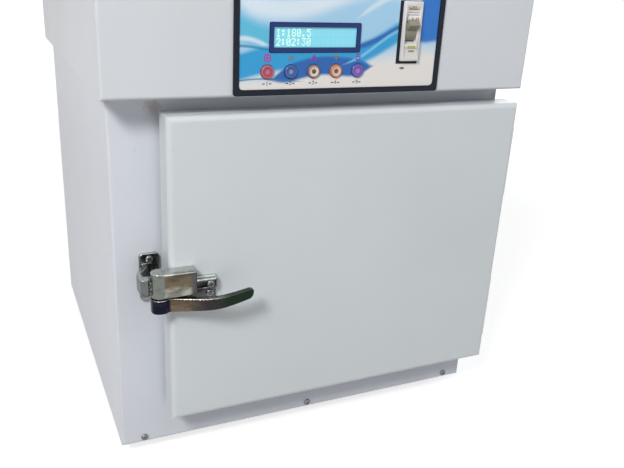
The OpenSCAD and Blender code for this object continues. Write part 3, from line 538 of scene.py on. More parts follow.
@dataclass(frozen=True)
class Wave:
    """One printed band: its middle line z = height + slope x + swing sin(turns x + phase).

    It narrows to nothing at the two ends of its span. Its places are in millimetres.
    """

    colour: Colour
    height: float
    slope: float
    swing: float
    turns: float
    phase: float
    half_width: float
    edge: float
    strength: float
    span: tuple[float, float] = (-90.0, 90.0)
    taper: float = 30.0

    def mask(self, s: Shader, x: Socket, z: Socket) -> Socket:
        """Works out where the band is.

        Args:
            s: The material.
            x: Place along the plate, from its middle.
            z: Place up the plate, from its middle.

        Returns:
            The band's share of the colour.
        """
        turned = s.math("SINE", s.math("ADD", s.math("MULTIPLY", x, self.turns), self.phase))
        line = s.math("ADD", s.math("MULTIPLY", turned, self.swing), self.height)
        line = s.math("ADD", line, s.math("MULTIPLY", x, self.slope))
        away = s.math("ABSOLUTE", s.math("SUBTRACT", z, line))
        start, end = self.span
        room = s.math("MINIMUM", s.math("SUBTRACT", x, start), s.math("SUBTRACT", end, x))
        narrowed = s.math("POWER", s.ranged(room, 0, self.taper, 1, 0, True), 2)
        away = s.math("ADD", away, s.math("MULTIPLY", narrowed, self.half_width))
        return s.ranged(away, self.half_width - self.edge, self.half_width, self.strength, 0, True)


@dataclass(frozen=True)
class PrintedFilm(Finish):
    """The overlay film: blue bands that flow over white, in the printer's plain style."""

    ground: Colour
    foot: Colour
    waves: tuple[Wave, ...]
    middle: Point2
    foot_line: Point2
    foot_span: Point2 = (-60.0, 70.0)
    foot_soft: float = 9.0
    texture: float = 0.03 * MM

    def paint(self, s: Shader) -> None:
        """Paints the ground, its pale foot, the waves in order, and the printer's fine screen.

        Args:
            s: The material.
        """
        place = s.split(s.place)
        x, z = (s.measured(place[axis], start, MM) for axis, start in zip((0, 2), self.middle))
        over_foot = s.math("SUBTRACT", z, s.ranged(x, *self.foot_span, *self.foot_line))
        low = s.ranged(over_foot, -self.foot_soft, self.foot_soft, 1, 0, True)
        colour = s.mix(low, self.ground, self.foot)
        for wave in self.waves:
            colour = s.mix(wave.mask(s, x, z), colour, wave.colour)
        screen = s.ranged(s.noise(2600.0, 1.0), 0.4, 0.6, 0, 0.05)
        s.set(
            Base_Color=s.mix(screen, colour, (0.92, 0.95, 1.0)),
            Roughness=s.spread(s.noise(260.0), 0.28, 0.38),
            Specular_IOR_Level=0.22,
            Coat_Weight=0.08,
            Coat_Roughness=0.2,
        )
        s.bump(s.noise(1500.0), self.texture, 0.3)


@dataclass(frozen=True)
class Backlight(Finish):
    """A lit display window with its rows of pale cells."""

    ground: Colour
    cell: Colour
    corner: Point2
    pitch: Point2
    edges: tuple[Point2, Point2] = ((0.40, 0.44), (0.42, 0.45))
    glow: float = 0.32
    texture: float = 0.01 * MM

    def paint(self, s: Shader) -> None:
        """Paints the cells between the rows' and the columns' gaps, and lights all of it.

        Args:
            s: The material.
        """
        x, _, z = s.split(s.place)
        inside = []
        for axis, start, pitch, edge in zip((x, z), self.corner, self.pitch, self.edges):
            part = s.math("FRACT", s.measured(axis, start * MM, pitch * MM))
            inside.append(s.ranged(s.math("ABSOLUTE", s.math("SUBTRACT", part, 0.5)), *edge, 1, 0))
        tone = s.mix(s.ranged(s.noise(28.0), 0.35, 0.65, 0, 0.5), self.cell, self.ground)
        colour = s.mix(s.math("MULTIPLY", *inside), self.ground, tone)
        s.set(Base_Color=colour, Roughness=0.14, Emission_Color=colour, Emission_Strength=self.glow)
        s.bump(s.noise(1800.0, 1.0), self.texture, 0.2)


@dataclass(frozen=True)
class Lit(Finish):
    """A lit segment of the display."""

    colour: Colour
    glow: float

    def paint(self, s: Shader) -> None:
        """Paints and lights the segment."""
        tone = s.mix(s.ranged(s.noise(90.0), 0.35, 0.65), tinted(self.colour, 0.9), self.colour)
        s.set(Base_Color=tone, Roughness=0.4, Emission_Color=tone, Emission_Strength=self.glow)


@dataclass(frozen=True)
class ButtonCap(Finish):
    """A push button's print: a middle, a ring and a rim round its own axis."""

    middle: Colour
    ring: Colour
    rim: Colour
    axis: Point2
    ring_at: tuple[float, float] = (1.5 * MM, 1.9 * MM)
    rim_at: tuple[float, float] = (3.3 * MM, 3.7 * MM)
    texture: float = 0.02 * MM

    def paint(self, s: Shader) -> None:
        """Paints the cap by how far it is from its axis.

        Args:
            s: The material.
        """
        x, _, z = s.split(s.place)
        offsets = [s.math("SUBTRACT", axis, start) for axis, start in zip((x, z), self.axis)]
        away = s.math("SQRT", s.math("ADD", *(s.math("MULTIPLY", d, d) for d in offsets)))
        colour = s.mix(s.ranged(away, *self.ring_at), self.middle, self.ring)
        colour = s.mix(s.ranged(away, *self.rim_at), colour, self.rim)
        sheen = s.spread(s.noise(600.0), 0.22, 0.34)
        s.set(Base_Color=colour, Roughness=sheen, Coat_Weight=0.3, Coat_Roughness=0.12)
        s.bump(s.noise(2000.0), self.texture, 0.4)


PRINT_SHADES: dict[str, Colour] = {
    "magenta": (0.42, 0.05, 0.30), "violet": (0.22, 0.07, 0.42), "umber": (0.26, 0.19, 0.10),
    "ink": (0.03, 0.045, 0.09), "flag_green": (0.42, 0.46, 0.14),
}


class Finishes:
    """Every finish of the part, made once."""

    def __init__(self) -> None:
        """Lists the finishes that need no place of the frame."""
        self.listed: dict[str, Finish] = {
            "body_paint": PowderCoat("white_body_paint", (0.69, 0.715, 0.775)),
            # A shade darker than the body's paint: painted shade that evens out the lamps on the
            # header.
            "header_paint": PowderCoat("white_header_paint", (0.665, 0.69, 0.725)),
            "door_paint": PowderCoat("white_door_paint", (0.65, 0.69, 0.715), 0.34),
            "stainless": Brushed("brushed_stainless", (0.62, 0.62, 0.63), Grain.ALONG_Y),
            "wire_steel": Plated("bright_wire", (0.70, 0.70, 0.72), 0.16, tarnished=0.15),
            "latch_chrome": Plated("latch_plating", (0.42, 0.43, 0.42), 0.16),
            "screw_steel": Plated("screw_zinc", (0.21, 0.21, 0.21), 0.26),
            "foot_rubber": Rubber("foot_rubber", (0.02, 0.02, 0.02), (0.12, 0.12, 0.12)),
            "gasket_silicone": Rubber("door_silicone", (0.42, 0.09, 0.05), (0.50, 0.22, 0.17)),
            "mineral_wool": MineralWool("packed_wool", (0.55, 0.47, 0.26)),
            "heater_sheath": Brushed("heater_sheath", (0.12, 0.11, 0.12), Grain.ALONG_Y, 0.5),
            "frame_black": Moulded("plate_frame_black", (0.008, 0.011, 0.020), 0.55, 0.2),
            "display_bezel": Moulded("display_bezel_navy", (0.012, 0.030, 0.145), 0.4, 0.3),
            "circuit_board": CircuitBoard("green_board", (0.01, 0.11, 0.04), (0.03, 0.26, 0.10)),
            "switch_black": Moulded("black_moulding", (0.02, 0.02, 0.022), 0.4),
            "breaker_white": Moulded("breaker_white", (0.72, 0.69, 0.68)),
            "toggle_grey": Moulded("toggle_grey", (0.26, 0.25, 0.18), 0.4, 0.3),
            "rail_zinc": Brushed("rail_zinc", (0.56, 0.57, 0.58), Grain.ALONG_X, 0.36),
            "sink_aluminium": Brushed("sink_aluminium", (0.66, 0.66, 0.68), Grain.ALONG_Y, 0.34),
            "core_steel": Moulded("core_varnish", (0.07, 0.06, 0.055), 0.45),
            "block_cream": Moulded("block_cream", (0.66, 0.60, 0.42), 0.45),
            "blade_brass": Plated("blade_brass", (0.72, 0.55, 0.24), 0.2),
            "digits": Lit("digit_glow", (0.72, 0.93, 0.74), 0.42),
        }
        for shade, colour in PRINT_SHADES.items():
            self.listed[shade] = Moulded(shade + "_print", colour, 0.5, 0.3)
        self.made: dict[str, Material] = {}

    def get(self, finish: str) -> Material:
        """Makes a finish's material at its first use.

        Args:
            finish: The finish, as it is listed.

        Returns:
            The material.
        """
        if finish not in self.made:
            self.made[finish] = self.listed[finish].material()
        return self.made[finish]


def rectangle(wide: float, tall: float, x: float = 0.0, y: float = 0.0) -> Outline:
    """Returns a rectangle's corners round a middle, in millimetres."""
    return [(x + u * wide / 2, y + v * tall / 2) for u, v in ((-1, -1), (1, -1), (1, 1), (-1, 1))]


def circle(radius: float, steps: int, x: float = 0.0, y: float = 0.0, squash: float = 1.0) -> Outline:
    """Returns the points of a circle, or of a flat oval, in millimetres."""
    turns = [2 * math.pi * i / steps for i in range(steps)]
    return [(x + radius * math.cos(a), y + squash * radius * math.sin(a)) for a in turns]


def placed(outline: Outline, at: Matrix, height: float) -> list[Vector]:
    """Returns an outline's points in millimetres, at a height over a placement."""
    return [at @ Vector((u * MM, v * MM, height * MM)) for u, v in outline]


class Maker:
    """Collects the faces of one piece in the row frame, and makes its object."""

    def __init__(self, name: str) -> None:
        """Starts an empty mesh for a piece with a name."""
        self.name = name
        self.bm = bmesh.new()

    def loft(self, rings: Sequence[Sequence[Vector]], closed: bool = False) -> None:
        """Joins rings of equal length with faces.

        Args:
            rings: The rings, each a closed loop of points.
            closed: Whether the last ring joins the first one. Else both are filled.
        """
        made = [[self.bm.verts.new(p) for p in ring] for ring in rings]
        for low, high in zip(made, made[1:] + (made[:1] if closed else [])):
            for i in range(len(low)):
                j = (i + 1) % len(low)
                self.bm.faces.new((low[i], low[j], high[j], high[i]))
        if not closed:
            self.bm.faces.new(made[0][::-1])
            self.bm.faces.new(made[-1])

    def lathe(self, profile: Outline, at: Matrix, steps: int = 40) -> None:
        """Turns a profile of (radius, height) in millimetres round +Z, with both ends filled."""
        self.loft([placed(circle(radius, steps), at, height) for radius, height in profile])

    def plate(self, outline: Outline, at: Matrix, thick: float, opening: Outline = ()) -> None:
        """Adds a plate that stands on a placement.

        Args:
            outline: Its outline in millimetres.
            at: The placement.
            thick: Its thickness in millimetres.
            opening: The outline of its opening, with as many points, or nothing.
        """
        path = [(outline, 0), (outline, thick)]
        if opening:
            path += [(opening, thick), (opening, 0)]
        self.loft([placed(line, at, height) for line, height in path], closed=bool(opening))

    def block(self, low: Sequence[float], high: Sequence[float], edge: float = 0.0) -> None:
        """Adds a box.

        Args:
            low: Its low corner in metres.
            high: Its high corner in metres.
            edge: The size of the bevel on its edges, in metres.
        """
        made = bmesh.ops.create_cube(self.bm, size=1.0)["verts"]
        for vert in made:
            vert.co = Vector([lo + (co + 0.5) * (hi - lo) for co, lo, hi in zip(vert.co, low, high)])
        if edge:
            edges = list({e for v in made for e in v.link_edges})
            bmesh.ops.bevel(self.bm, geom=edges, offset=edge, segments=3, profile=0.5, affect="EDGES")

    def copy(self, points: Sequence[Vector], faces: Sequence[Sequence[int]], at: Matrix) -> None:
        """Adds a ready mesh.

        Args:
            points: Its points.
            faces: The numbers of each face's points.
            at: Its placement.
        """
        verts = [self.bm.verts.new(at @ p) for p in points]
        for face in faces:
            self.bm.faces.new([verts[i] for i in face])

    def done(self, material: Material, smooth: float = 35.0) -> Piece:
        """Makes the object.

        Args:
            material: Its material.
            smooth: Edges sharper than this angle, in degrees, stay sharp.

        Returns:
            The object, linked to the scene.
        """
        bmesh.ops.recalc_face_normals(self.bm, faces=self.bm.faces)
        mesh = bpy.data.meshes.new(self.name)
        self.bm.to_mesh(mesh)
        self.bm.free()
        mesh.materials.append(material)
        mesh.shade_smooth()
        mesh.set_sharp_from_angle(angle=math.radians(smooth))
        made = bpy.data.objects.new(self.name, mesh)
        bpy.context.scene.collection.objects.link(made)
        return made


def reshape(piece: Piece, **modifiers: dict[str, object]) -> None:
    """Runs modifiers on a piece, and keeps what they make as its mesh.

    Args:
        piece: The piece.
        **modifiers: The settings of each kind of modifier, in their order.
    """
    for kind, settings in modifiers.items():
        modifier = piece.modifiers.new(kind, kind)
        for name, setting in settings.items():
            setattr(modifier, name, setting)
    depsgraph = bpy.context.evaluated_depsgraph_get()
    mesh = bpy.data.meshes.new_from_object(piece.evaluated_get(depsgraph))
    piece.modifiers.clear()
    old, piece.data = piece.data, mesh
    bpy.data.meshes.remove(old)


def cut_away(solid: Piece, cutter: Piece) -> None:
    """Cuts one closed mesh out of another, and removes the cutter."""
    reshape(solid, BOOLEAN=dict(operation="DIFFERENCE", solver="EXACT", use_self=True, object=cutter))
    bpy.data.objects.remove(cutter)


def mesh_parts(mesh: bpy.types.Mesh) -> tuple[list[Vector], list[list[int]]]:
    """Returns a mesh's points, and the numbers of each face's points."""
    return [v.co.copy() for v in mesh.vertices], [list(p.vertices) for p in mesh.polygons]


class Sign(Enum):
    """A plain printed sign: its outlines in millimetres, each with that of its opening."""

    RING = ((circle(2.9, 28), circle(1.9, 28)), (circle(1.0, 16), ()))
    UP = ((((-2.7, -2.0), (2.7, -2.0), (0.0, 2.6)), ()),)
    DOWN = ((((-1.9, 1.4), (0.0, -1.9), (1.9, 1.4)), ()),)
    SQUARE = (
        (rectangle(3.8, 2.8, 0, -0.5), rectangle(2.4, 1.4, 0, -0.5)), (rectangle(3.8, 0.8, 0, 1.9), ()))
    BARS = tuple((rectangle(2.0 + i, 0.7, 0, 1.3 - 1.3 * i), ()) for i in range(3))


DOT_ROWS: dict[str, tuple[int, ...]] = {
    "0": (14, 17, 19, 21, 25, 17, 14), "1": (4, 12, 4, 4, 4, 4, 14), "2": (14, 17, 1, 2, 4, 8, 31),
    "3": (31, 2, 4, 2, 1, 17, 14), "4": (2, 6, 10, 18, 31, 2, 2), "5": (31, 16, 30, 1, 1, 17, 14),
    "8": (14, 17, 17, 14, 17, 17, 14), ":": (0, 12, 12, 0, 12, 12, 0), ".": (0, 0, 0, 0, 0, 12, 12),
}
DOT_COLUMNS, DOT_LINES, DOT_SHARE = 5, 7, 0.9


def dots(maker: Maker, text: str, at: Matrix, pitch: Point2, thick: float, step: float = 0.0) -> None:
    """Writes digits as small square dots, five across and seven high.

    Args:
        maker: The piece that they are added to.
        text: Digits, colons and points.
        at: The placement of the first character's lower left corner.
        pitch: Dot spacing across and up, in millimetres.
        thick: How far the dots stand out, in millimetres.
        step: From one character to the next, in millimetres.
    """
    across, up = pitch
    for place, sign in enumerate(text):
        for row, bits in enumerate(DOT_ROWS[sign]):
            y = (DOT_LINES - 0.5 - row) * up
            for column in range(DOT_COLUMNS):
                if bits >> (DOT_COLUMNS - 1 - column) & 1:
                    x = place * step + (column + 0.5) * across
                    maker.plate(rectangle(across * DOT_SHARE, up * DOT_SHARE, x, y), at, thick)


def middle(node: str) -> Vector:
    """Returns the middle of a CAD node's box."""
    low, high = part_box(node)
    return (low + high) / 2


def on_front(node: str, x: float, z: float, sunk: float = 0.0) -> Matrix:
    """Returns a placement that faces out, on or behind a CAD node's front, all in metres."""
    return Matrix.Translation((x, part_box(node)[0].y + sunk, z)) @ Side.FRONT.value


def shells(node: str) -> list[Box]:
    """Finds the separate solids of a CAD node.

    Args:
        node: The CAD node.

    Returns:
        The box of each solid, as two corners, in the order of their places.
    """
    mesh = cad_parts[node].data
    keys = [tuple(round(c / MICRON) for c in vertex.co) for vertex in mesh.vertices]
    places = {key: vertex.co for key, vertex in zip(keys, mesh.vertices)}
    near: dict[tuple[int, ...], list[tuple[int, ...]]] = {key: [] for key in places}
    for edge in mesh.edges:
        first, second = (keys[i] for i in edge.vertices)
        near[first].append(second)
        near[second].append(first)
    boxes = []
    while near:
        ends, solid = [next(iter(near))], []
        while ends:
            key = ends.pop()
            if key in near:
                solid.append(places[key])
                ends += near.pop(key)
        corners = [[pick(p[k] for p in solid) for k in range(3)] for pick in (min, max)]
        boxes.append(tuple(Vector(corner) for corner in corners))
    return sorted(boxes, key=lambda box: tuple(round(c, 6) for corner in box for c in corner))


@dataclass
class ScrewSet:
    """Pan head screws with a cross recess, at the places of a CAD node's screws, in millimetres."""

    node: str
    side: Side
    head_radius: float = 2.95
    head_height: float = 1.58
    head_steps: int = 28
    seat_deep: float = 1.6
    recess_deep: float = 0.9
    recess_half: float = 0.42
    recess_reach: float = 0.62
    shank_radius: float = 1.48
    shank_point: float = 1.3
    shank_least: float = 0.6
    first_turn: float = 0.3
    next_turn: float = 0.7

    def head(self, material: Material) -> tuple[list[Vector], list[list[int]]]:
        """Cuts the cross out of one head, seated on z = 0.

        Args:
            material: The screws' material.

        Returns:
            The head's points, and the numbers of each face's points.
        """
        r, h = self.head_radius, self.head_height
        head = Maker("screw_template")
        profile = [(r * 0.97, 0), (r, 0.15), (r, 0.5), (r * 0.93, 0.95), (r * 0.78, h - 0.25),
                   (r * 0.55, h - 0.08), (r * 0.3, h - 0.02), (0.05, h)]
        head.lathe(profile, NO_TURN, self.head_steps)
        solid = head.done(material)
        cross = Maker("cross_template")
        half, reach = self.recess_half * MM, r * self.recess_reach * MM
        for x, y in ((half, reach), (reach, half)):
            cross.block((-x, -y, (h - self.recess_deep) * MM), (x, y, (h + 1) * MM))
        cut_away(solid, cross.done(material))
        parts = mesh_parts(solid.data)
        bpy.data.objects.remove(solid)
        return parts

    def build(self, material: Material) -> Piece:
        """Builds one head and shank at each CAD screw.

        Args:
            material: The screws' material.

        Returns:
            The piece.
        """
        points, faces = self.head(material)
        facing = self.side.value
        out = facing @ Vector((0, 0, 1))
        maker = Maker(self.node + "_crossed")
        for i, (low, high) in enumerate(shells(self.node)):
            half = abs((high - low).dot(out)) / 2
            seat = (low + high) / 2 + out * (half - self.seat_deep * MM)
            at = Matrix.Translation(seat) @ facing
            turn = Matrix.Rotation(self.next_turn * i + self.first_turn, 4, "Z")
            maker.copy(points, faces, at @ turn)
            end, r = -max(2 * half / MM - self.seat_deep - 0.1, self.shank_least), self.shank_radius
            maker.lathe([(self.shank_point, end), (r, end + 0.3), (r, 0.05)], at, 16)
        return maker.done(material, 40)


@dataclass
class SubAssembly:
    """What every sub-assembly has: its finishes, and the names of the pieces that it made."""

    finishes: Finishes
    made: list[str] = field(default_factory=list)

    def build(self) -> None:
        """Builds and dresses the sub-assembly's pieces."""
        raise NotImplementedError

    def dress(self, **nodes: Sequence[str]) -> None:
        """Gives CAD nodes a finish and smooth round faces.

        Args:
            **nodes: The CAD nodes of each finish.
        """
        for finish, names in nodes.items():
            for name in names:
                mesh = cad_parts[name].data
                mesh.materials.clear()
                mesh.materials.append(self.finishes.get(finish))
                mesh.shade_smooth()
                mesh.set_sharp_from_angle(angle=math.radians(30))

    def settle(self, piece: Piece, slot: str, body: str = "cabinet", replaced: str = "") -> None:
        """Args:
            piece: The piece.
            slot: Not used.
            body: The body that it rides on.
            replaced: The CAD node that it stands for, if it does.
        """
        if replaced:
            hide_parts(replaced)
        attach(piece, body)
        self.made.append(piece.name)

    def print_on(self, maker: Maker, shade: str) -> None:
        """Makes a piece that is printed on the plate, in one of the print's shades."""
        self.settle(maker.done(self.finishes.get(shade)), "overlay_film")

    def add_screws(self, body: str, **sides: Side) -> None:
        """Puts crossed screws in the place of plain ones.

        Args:
            body: The body that they ride on.
            **sides: The way that the heads face, by CAD node.
        """
        for node, side in sides.items():
            screws = ScrewSet(node, side).build(self.finishes.get("screw_steel"))
            self.settle(screws, "screw_steel", body, node)


@dataclass
class Cabinet(SubAssembly):
    """The painted cabinet with its chamber, racks, shelves, heater and feet, in millimetres.

    It has a little rust at the seam over the door's two corners.
    """

    rust_rise: float = 2.0
    rust_shifts: Point2 = (-3.0, -4.0)
    foot_bore: float = 5.0
    foot_recess: float = 3.9
    ribs: int = 3
    first_rib: float = 2.4
    rib_pitch: float = 2.6
    rib_half: float = 0.5
    foot_steps: int = 40

    def dress_sheet(self) -> None:
        """Paints the wrap and the rear panel, and finishes what lies in the chamber."""
        low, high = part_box("door_skin")
        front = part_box("chamber_liner")[0].y
        corners = zip((low.x, high.x), self.rust_shifts)
        seam = high.z + self.rust_rise * MM
        rusted = tuple(Vector((x + shift * MM, front, seam)) for x, shift in corners)
        listed = self.finishes.listed
        listed["body_paint"] = replace(listed["body_paint"], rusted=rusted)
        self.dress(
            body_paint=("cabinet_wrap", "rear_panel"),
            stainless=("chamber_liner", "side_rack_left", "side_rack_right", "floor_plate",
                       "heater_flange", "temperature_probe", "cabinet_hinge_leaves"),
            wire_steel=("shelf_lower", "shelf_upper", "hinge_pins"),
            heater_sheath=("heater_tube",),
            mineral_wool=("insulation_jacket",),
        )

    def build_feet(self) -> None:
        """Builds ribbed rubber feet with a recess for the screw."""
        maker = Maker("ribbed_feet")
        bore = self.foot_bore
        for low, high in shells("rubber_feet"):
            centre = (low + high) / 2
            r, h = (high.x - low.x) / 2 / MM, (high.z - low.z) / MM
            profile = [(bore, self.foot_recess), (bore, 0.6), (bore + 0.6, 0),
                       (r - 2.2, 0), (r - 1.5, 0.7)]
            for rib in range(self.ribs):
                z, edge = self.first_rib + rib * self.rib_pitch, r - 1.2 + rib * 0.2
                profile += [(edge, z - self.rib_half), (edge - 0.5, z), (edge, z + self.rib_half)]
            profile += [(r - 0.5, h - 1.2), (r - 0.2, h - 0.02), (2.0, h - 0.02)]
            maker.lathe(profile, Matrix.Translation((centre.x, centre.y, low.z)), self.foot_steps)
        feet = maker.done(self.finishes.get("foot_rubber"), 50)
        self.settle(feet, "foot_rubber", replaced="rubber_feet")

    def build(self) -> None:
        """Builds and dresses the cabinet."""
        self.dress_sheet()
        self.build_feet()
        self.add_screws("cabinet", rear_screws=Side.BACK, front_screws=Side.FRONT,
                        keeper_screws=Side.FRONT, cabinet_hinge_screws=Side.RIGHT,
                        foot_screws=Side.DOWN)


@dataclass
class Door(SubAssembly):
    """The overlay door with its liner, its silicone seal and its hinge leaves."""

    seal_half: float = 5.0 * MM
    seal_turn: float = 7.0 * MM
    seal_share: float = 0.99
    seal_steps: int = 10
    seal_profile: Outline = (
        (-1.0, 0.0), (-1.0, 0.35), (-0.62, 0.45), (-0.60, 0.72), (-0.38, 0.94), (0.0, 1.0),
        (0.38, 0.94), (0.60, 0.72), (0.62, 0.45), (1.0, 0.35), (1.0, 0.0))

    def build_seal(self) -> None:
        """Builds the bulb seal: its profile goes round the four corners of the CAD gasket."""
        low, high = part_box("door_gasket")
        half, deep = self.seal_half * self.seal_share, (high.y - low.y) * self.seal_share
        inset = self.seal_half + self.seal_turn
        rings = []
        for quarter, (sx, sz) in enumerate(((1, 1), (-1, 1), (-1, -1), (1, -1))):
            x = (high.x if sx > 0 else low.x) - sx * inset
            z = (high.z if sz > 0 else low.z) - sz * inset
            for i in range(self.seal_steps + 1):
                a = math.radians(90 * (quarter + i / self.seal_steps))
                ways = [self.seal_turn + u * half for u, _ in self.seal_profile]
                rings.append([Vector((x + way * math.cos(a), low.y + v * deep, z + way * math.sin(a)))
                              for way, (_, v) in zip(ways, self.seal_profile)])
        maker = Maker("bulb_seal")
        maker.loft(rings, closed=True)
        seal = maker.done(self.finishes.get("gasket_silicone"), 50)
        self.settle(seal, "gasket_silicone", "door", "door_gasket")

    def build(self) -> None:
        """Builds and dresses the door."""
        self.dress(door_paint=("door_skin",), stainless=("door_liner", "door_hinge_leaves"),
                   mineral_wool=("door_insulation",))
        self.build_seal()
        self.add_screws("door", liner_screws=Side.BACK, door_hinge_screws=Side.RIGHT,
                        latch_screws=Side.FRONT)


@dataclass
class Latch(SubAssembly):
    """The plated lever latch: keeper, body, lever, spindle and cam."""

    voxel: float = 0.42 * MM
    rounds: int = 5
    keep: float = 0.4

    def add_finishes(self) -> None:
        """Adds the plating of the three castings, with painted reflections, highlights and shade."""
        # Painted shade colour and painted top highlight colour, shared by the castings.
        hollow, top = (0.022, 0.025, 0.028), (0.52, 0.55, 0.52)
        hub, tip = middle("latch_spindle").x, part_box("latch_lever")[1].x
        foot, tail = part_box("latch_body")[0].z, hub + 20 * MM
        # Front and pale colours are painted reflections; the fades paint dark and light reflection
        # bands on the housing's tail and boss and along the lever.
        self.finishes.listed.update(
            latch_keeper=WornChrome(
                "keeper_plating", (0.125, 0.135, 0.13), (0.20, 0.215, 0.205), top, hollow,
                (foot, foot + 20 * MM), mottled=0.8),
            latch_body=WornChrome(
                "housing_plating", (0.135, 0.105, 0.070), (0.34, 0.34, 0.29), top, hollow,
                (foot + 10 * MM, foot + 19 * MM),
                (Fade((0.085, 0.085, 0.085), tail, tail + 3.5 * MM),
                 Fade((0.165, 0.18, 0.165), hub + 3.0 * MM, hub + 1.2 * MM))),
            latch_lever=WornChrome(
                "lever_plating", (0.085, 0.060, 0.038), (0.16, 0.13, 0.092), (0.55, 0.55, 0.49), hollow,
                (foot - 3 * MM, foot + 9 * MM),
                (Fade((0.010, 0.011, 0.024), hub + 7.5 * MM, hub + 5.5 * MM),
                 Fade((0.036, 0.030, 0.033), hub + 14 * MM, tip - 34 * MM, 0.35),
                 Fade((0.014, 0.026, 0.016), tip - 32 * MM, tip - 18 * MM, 0.85))),
        )

    def casting(self, node: str, name: str, body: str) -> None:
        """Builds a soft-edged casting from a CAD node's own shape.

        Args:
            node: The CAD node.
            name: The piece's name.
            body: The body that it rides on.
        """
        maker = Maker(name)
        maker.copy(*mesh_parts(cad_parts[node].data), NO_TURN)
        bmesh.ops.remove_doubles(maker.bm, verts=maker.bm.verts, dist=MICRON)
        piece = maker.done(self.finishes.get(node))
        reshape(
            piece,
            REMESH={"mode": "VOXEL", "voxel_size": self.voxel},
            SMOOTH={"factor": 0.5, "iterations": self.rounds},
            DECIMATE={"ratio": self.keep},
        )
        piece.data.shade_smooth()
        self.settle(piece, "latch_chrome", body, node)

    def build(self) -> None:
        """Builds and dresses the latch."""
        self.add_finishes()
        self.casting("latch_keeper", "keeper_casting", "cabinet")
        self.casting("latch_body", "latch_casting", "door")
        self.casting("latch_lever", "lever_casting", "lever")
        self.dress(wire_steel=("latch_spindle",), latch_chrome=("latch_cam",))


CAP_COLOURS: dict[str, tuple[Colour, Colour, Colour]] = {
    "red": ((0.50, 0.14, 0.24), (0.36, 0.03, 0.07), (0.46, 0.09, 0.15)),
    "blue": ((0.16, 0.26, 0.55), (0.02, 0.06, 0.22), (0.03, 0.10, 0.32)),
    "cream": ((0.08, 0.045, 0.04), (0.74, 0.60, 0.46), (0.22, 0.13, 0.16)),
    "orange": ((0.10, 0.06, 0.06), (0.76, 0.48, 0.36), (0.46, 0.17, 0.08)),
    "purple": ((0.36, 0.15, 0.55), (0.15, 0.06, 0.36), (0.10, 0.09, 0.38)),
}
SIGNS: dict[str, dict[int, Sign]] = {
    "magenta": {1: Sign.RING}, "violet": {3: Sign.UP, 5: Sign.SQUARE},
    "umber": {2: Sign.BARS, 4: Sign.DOWN},
}
PRINT_THICK = 0.12


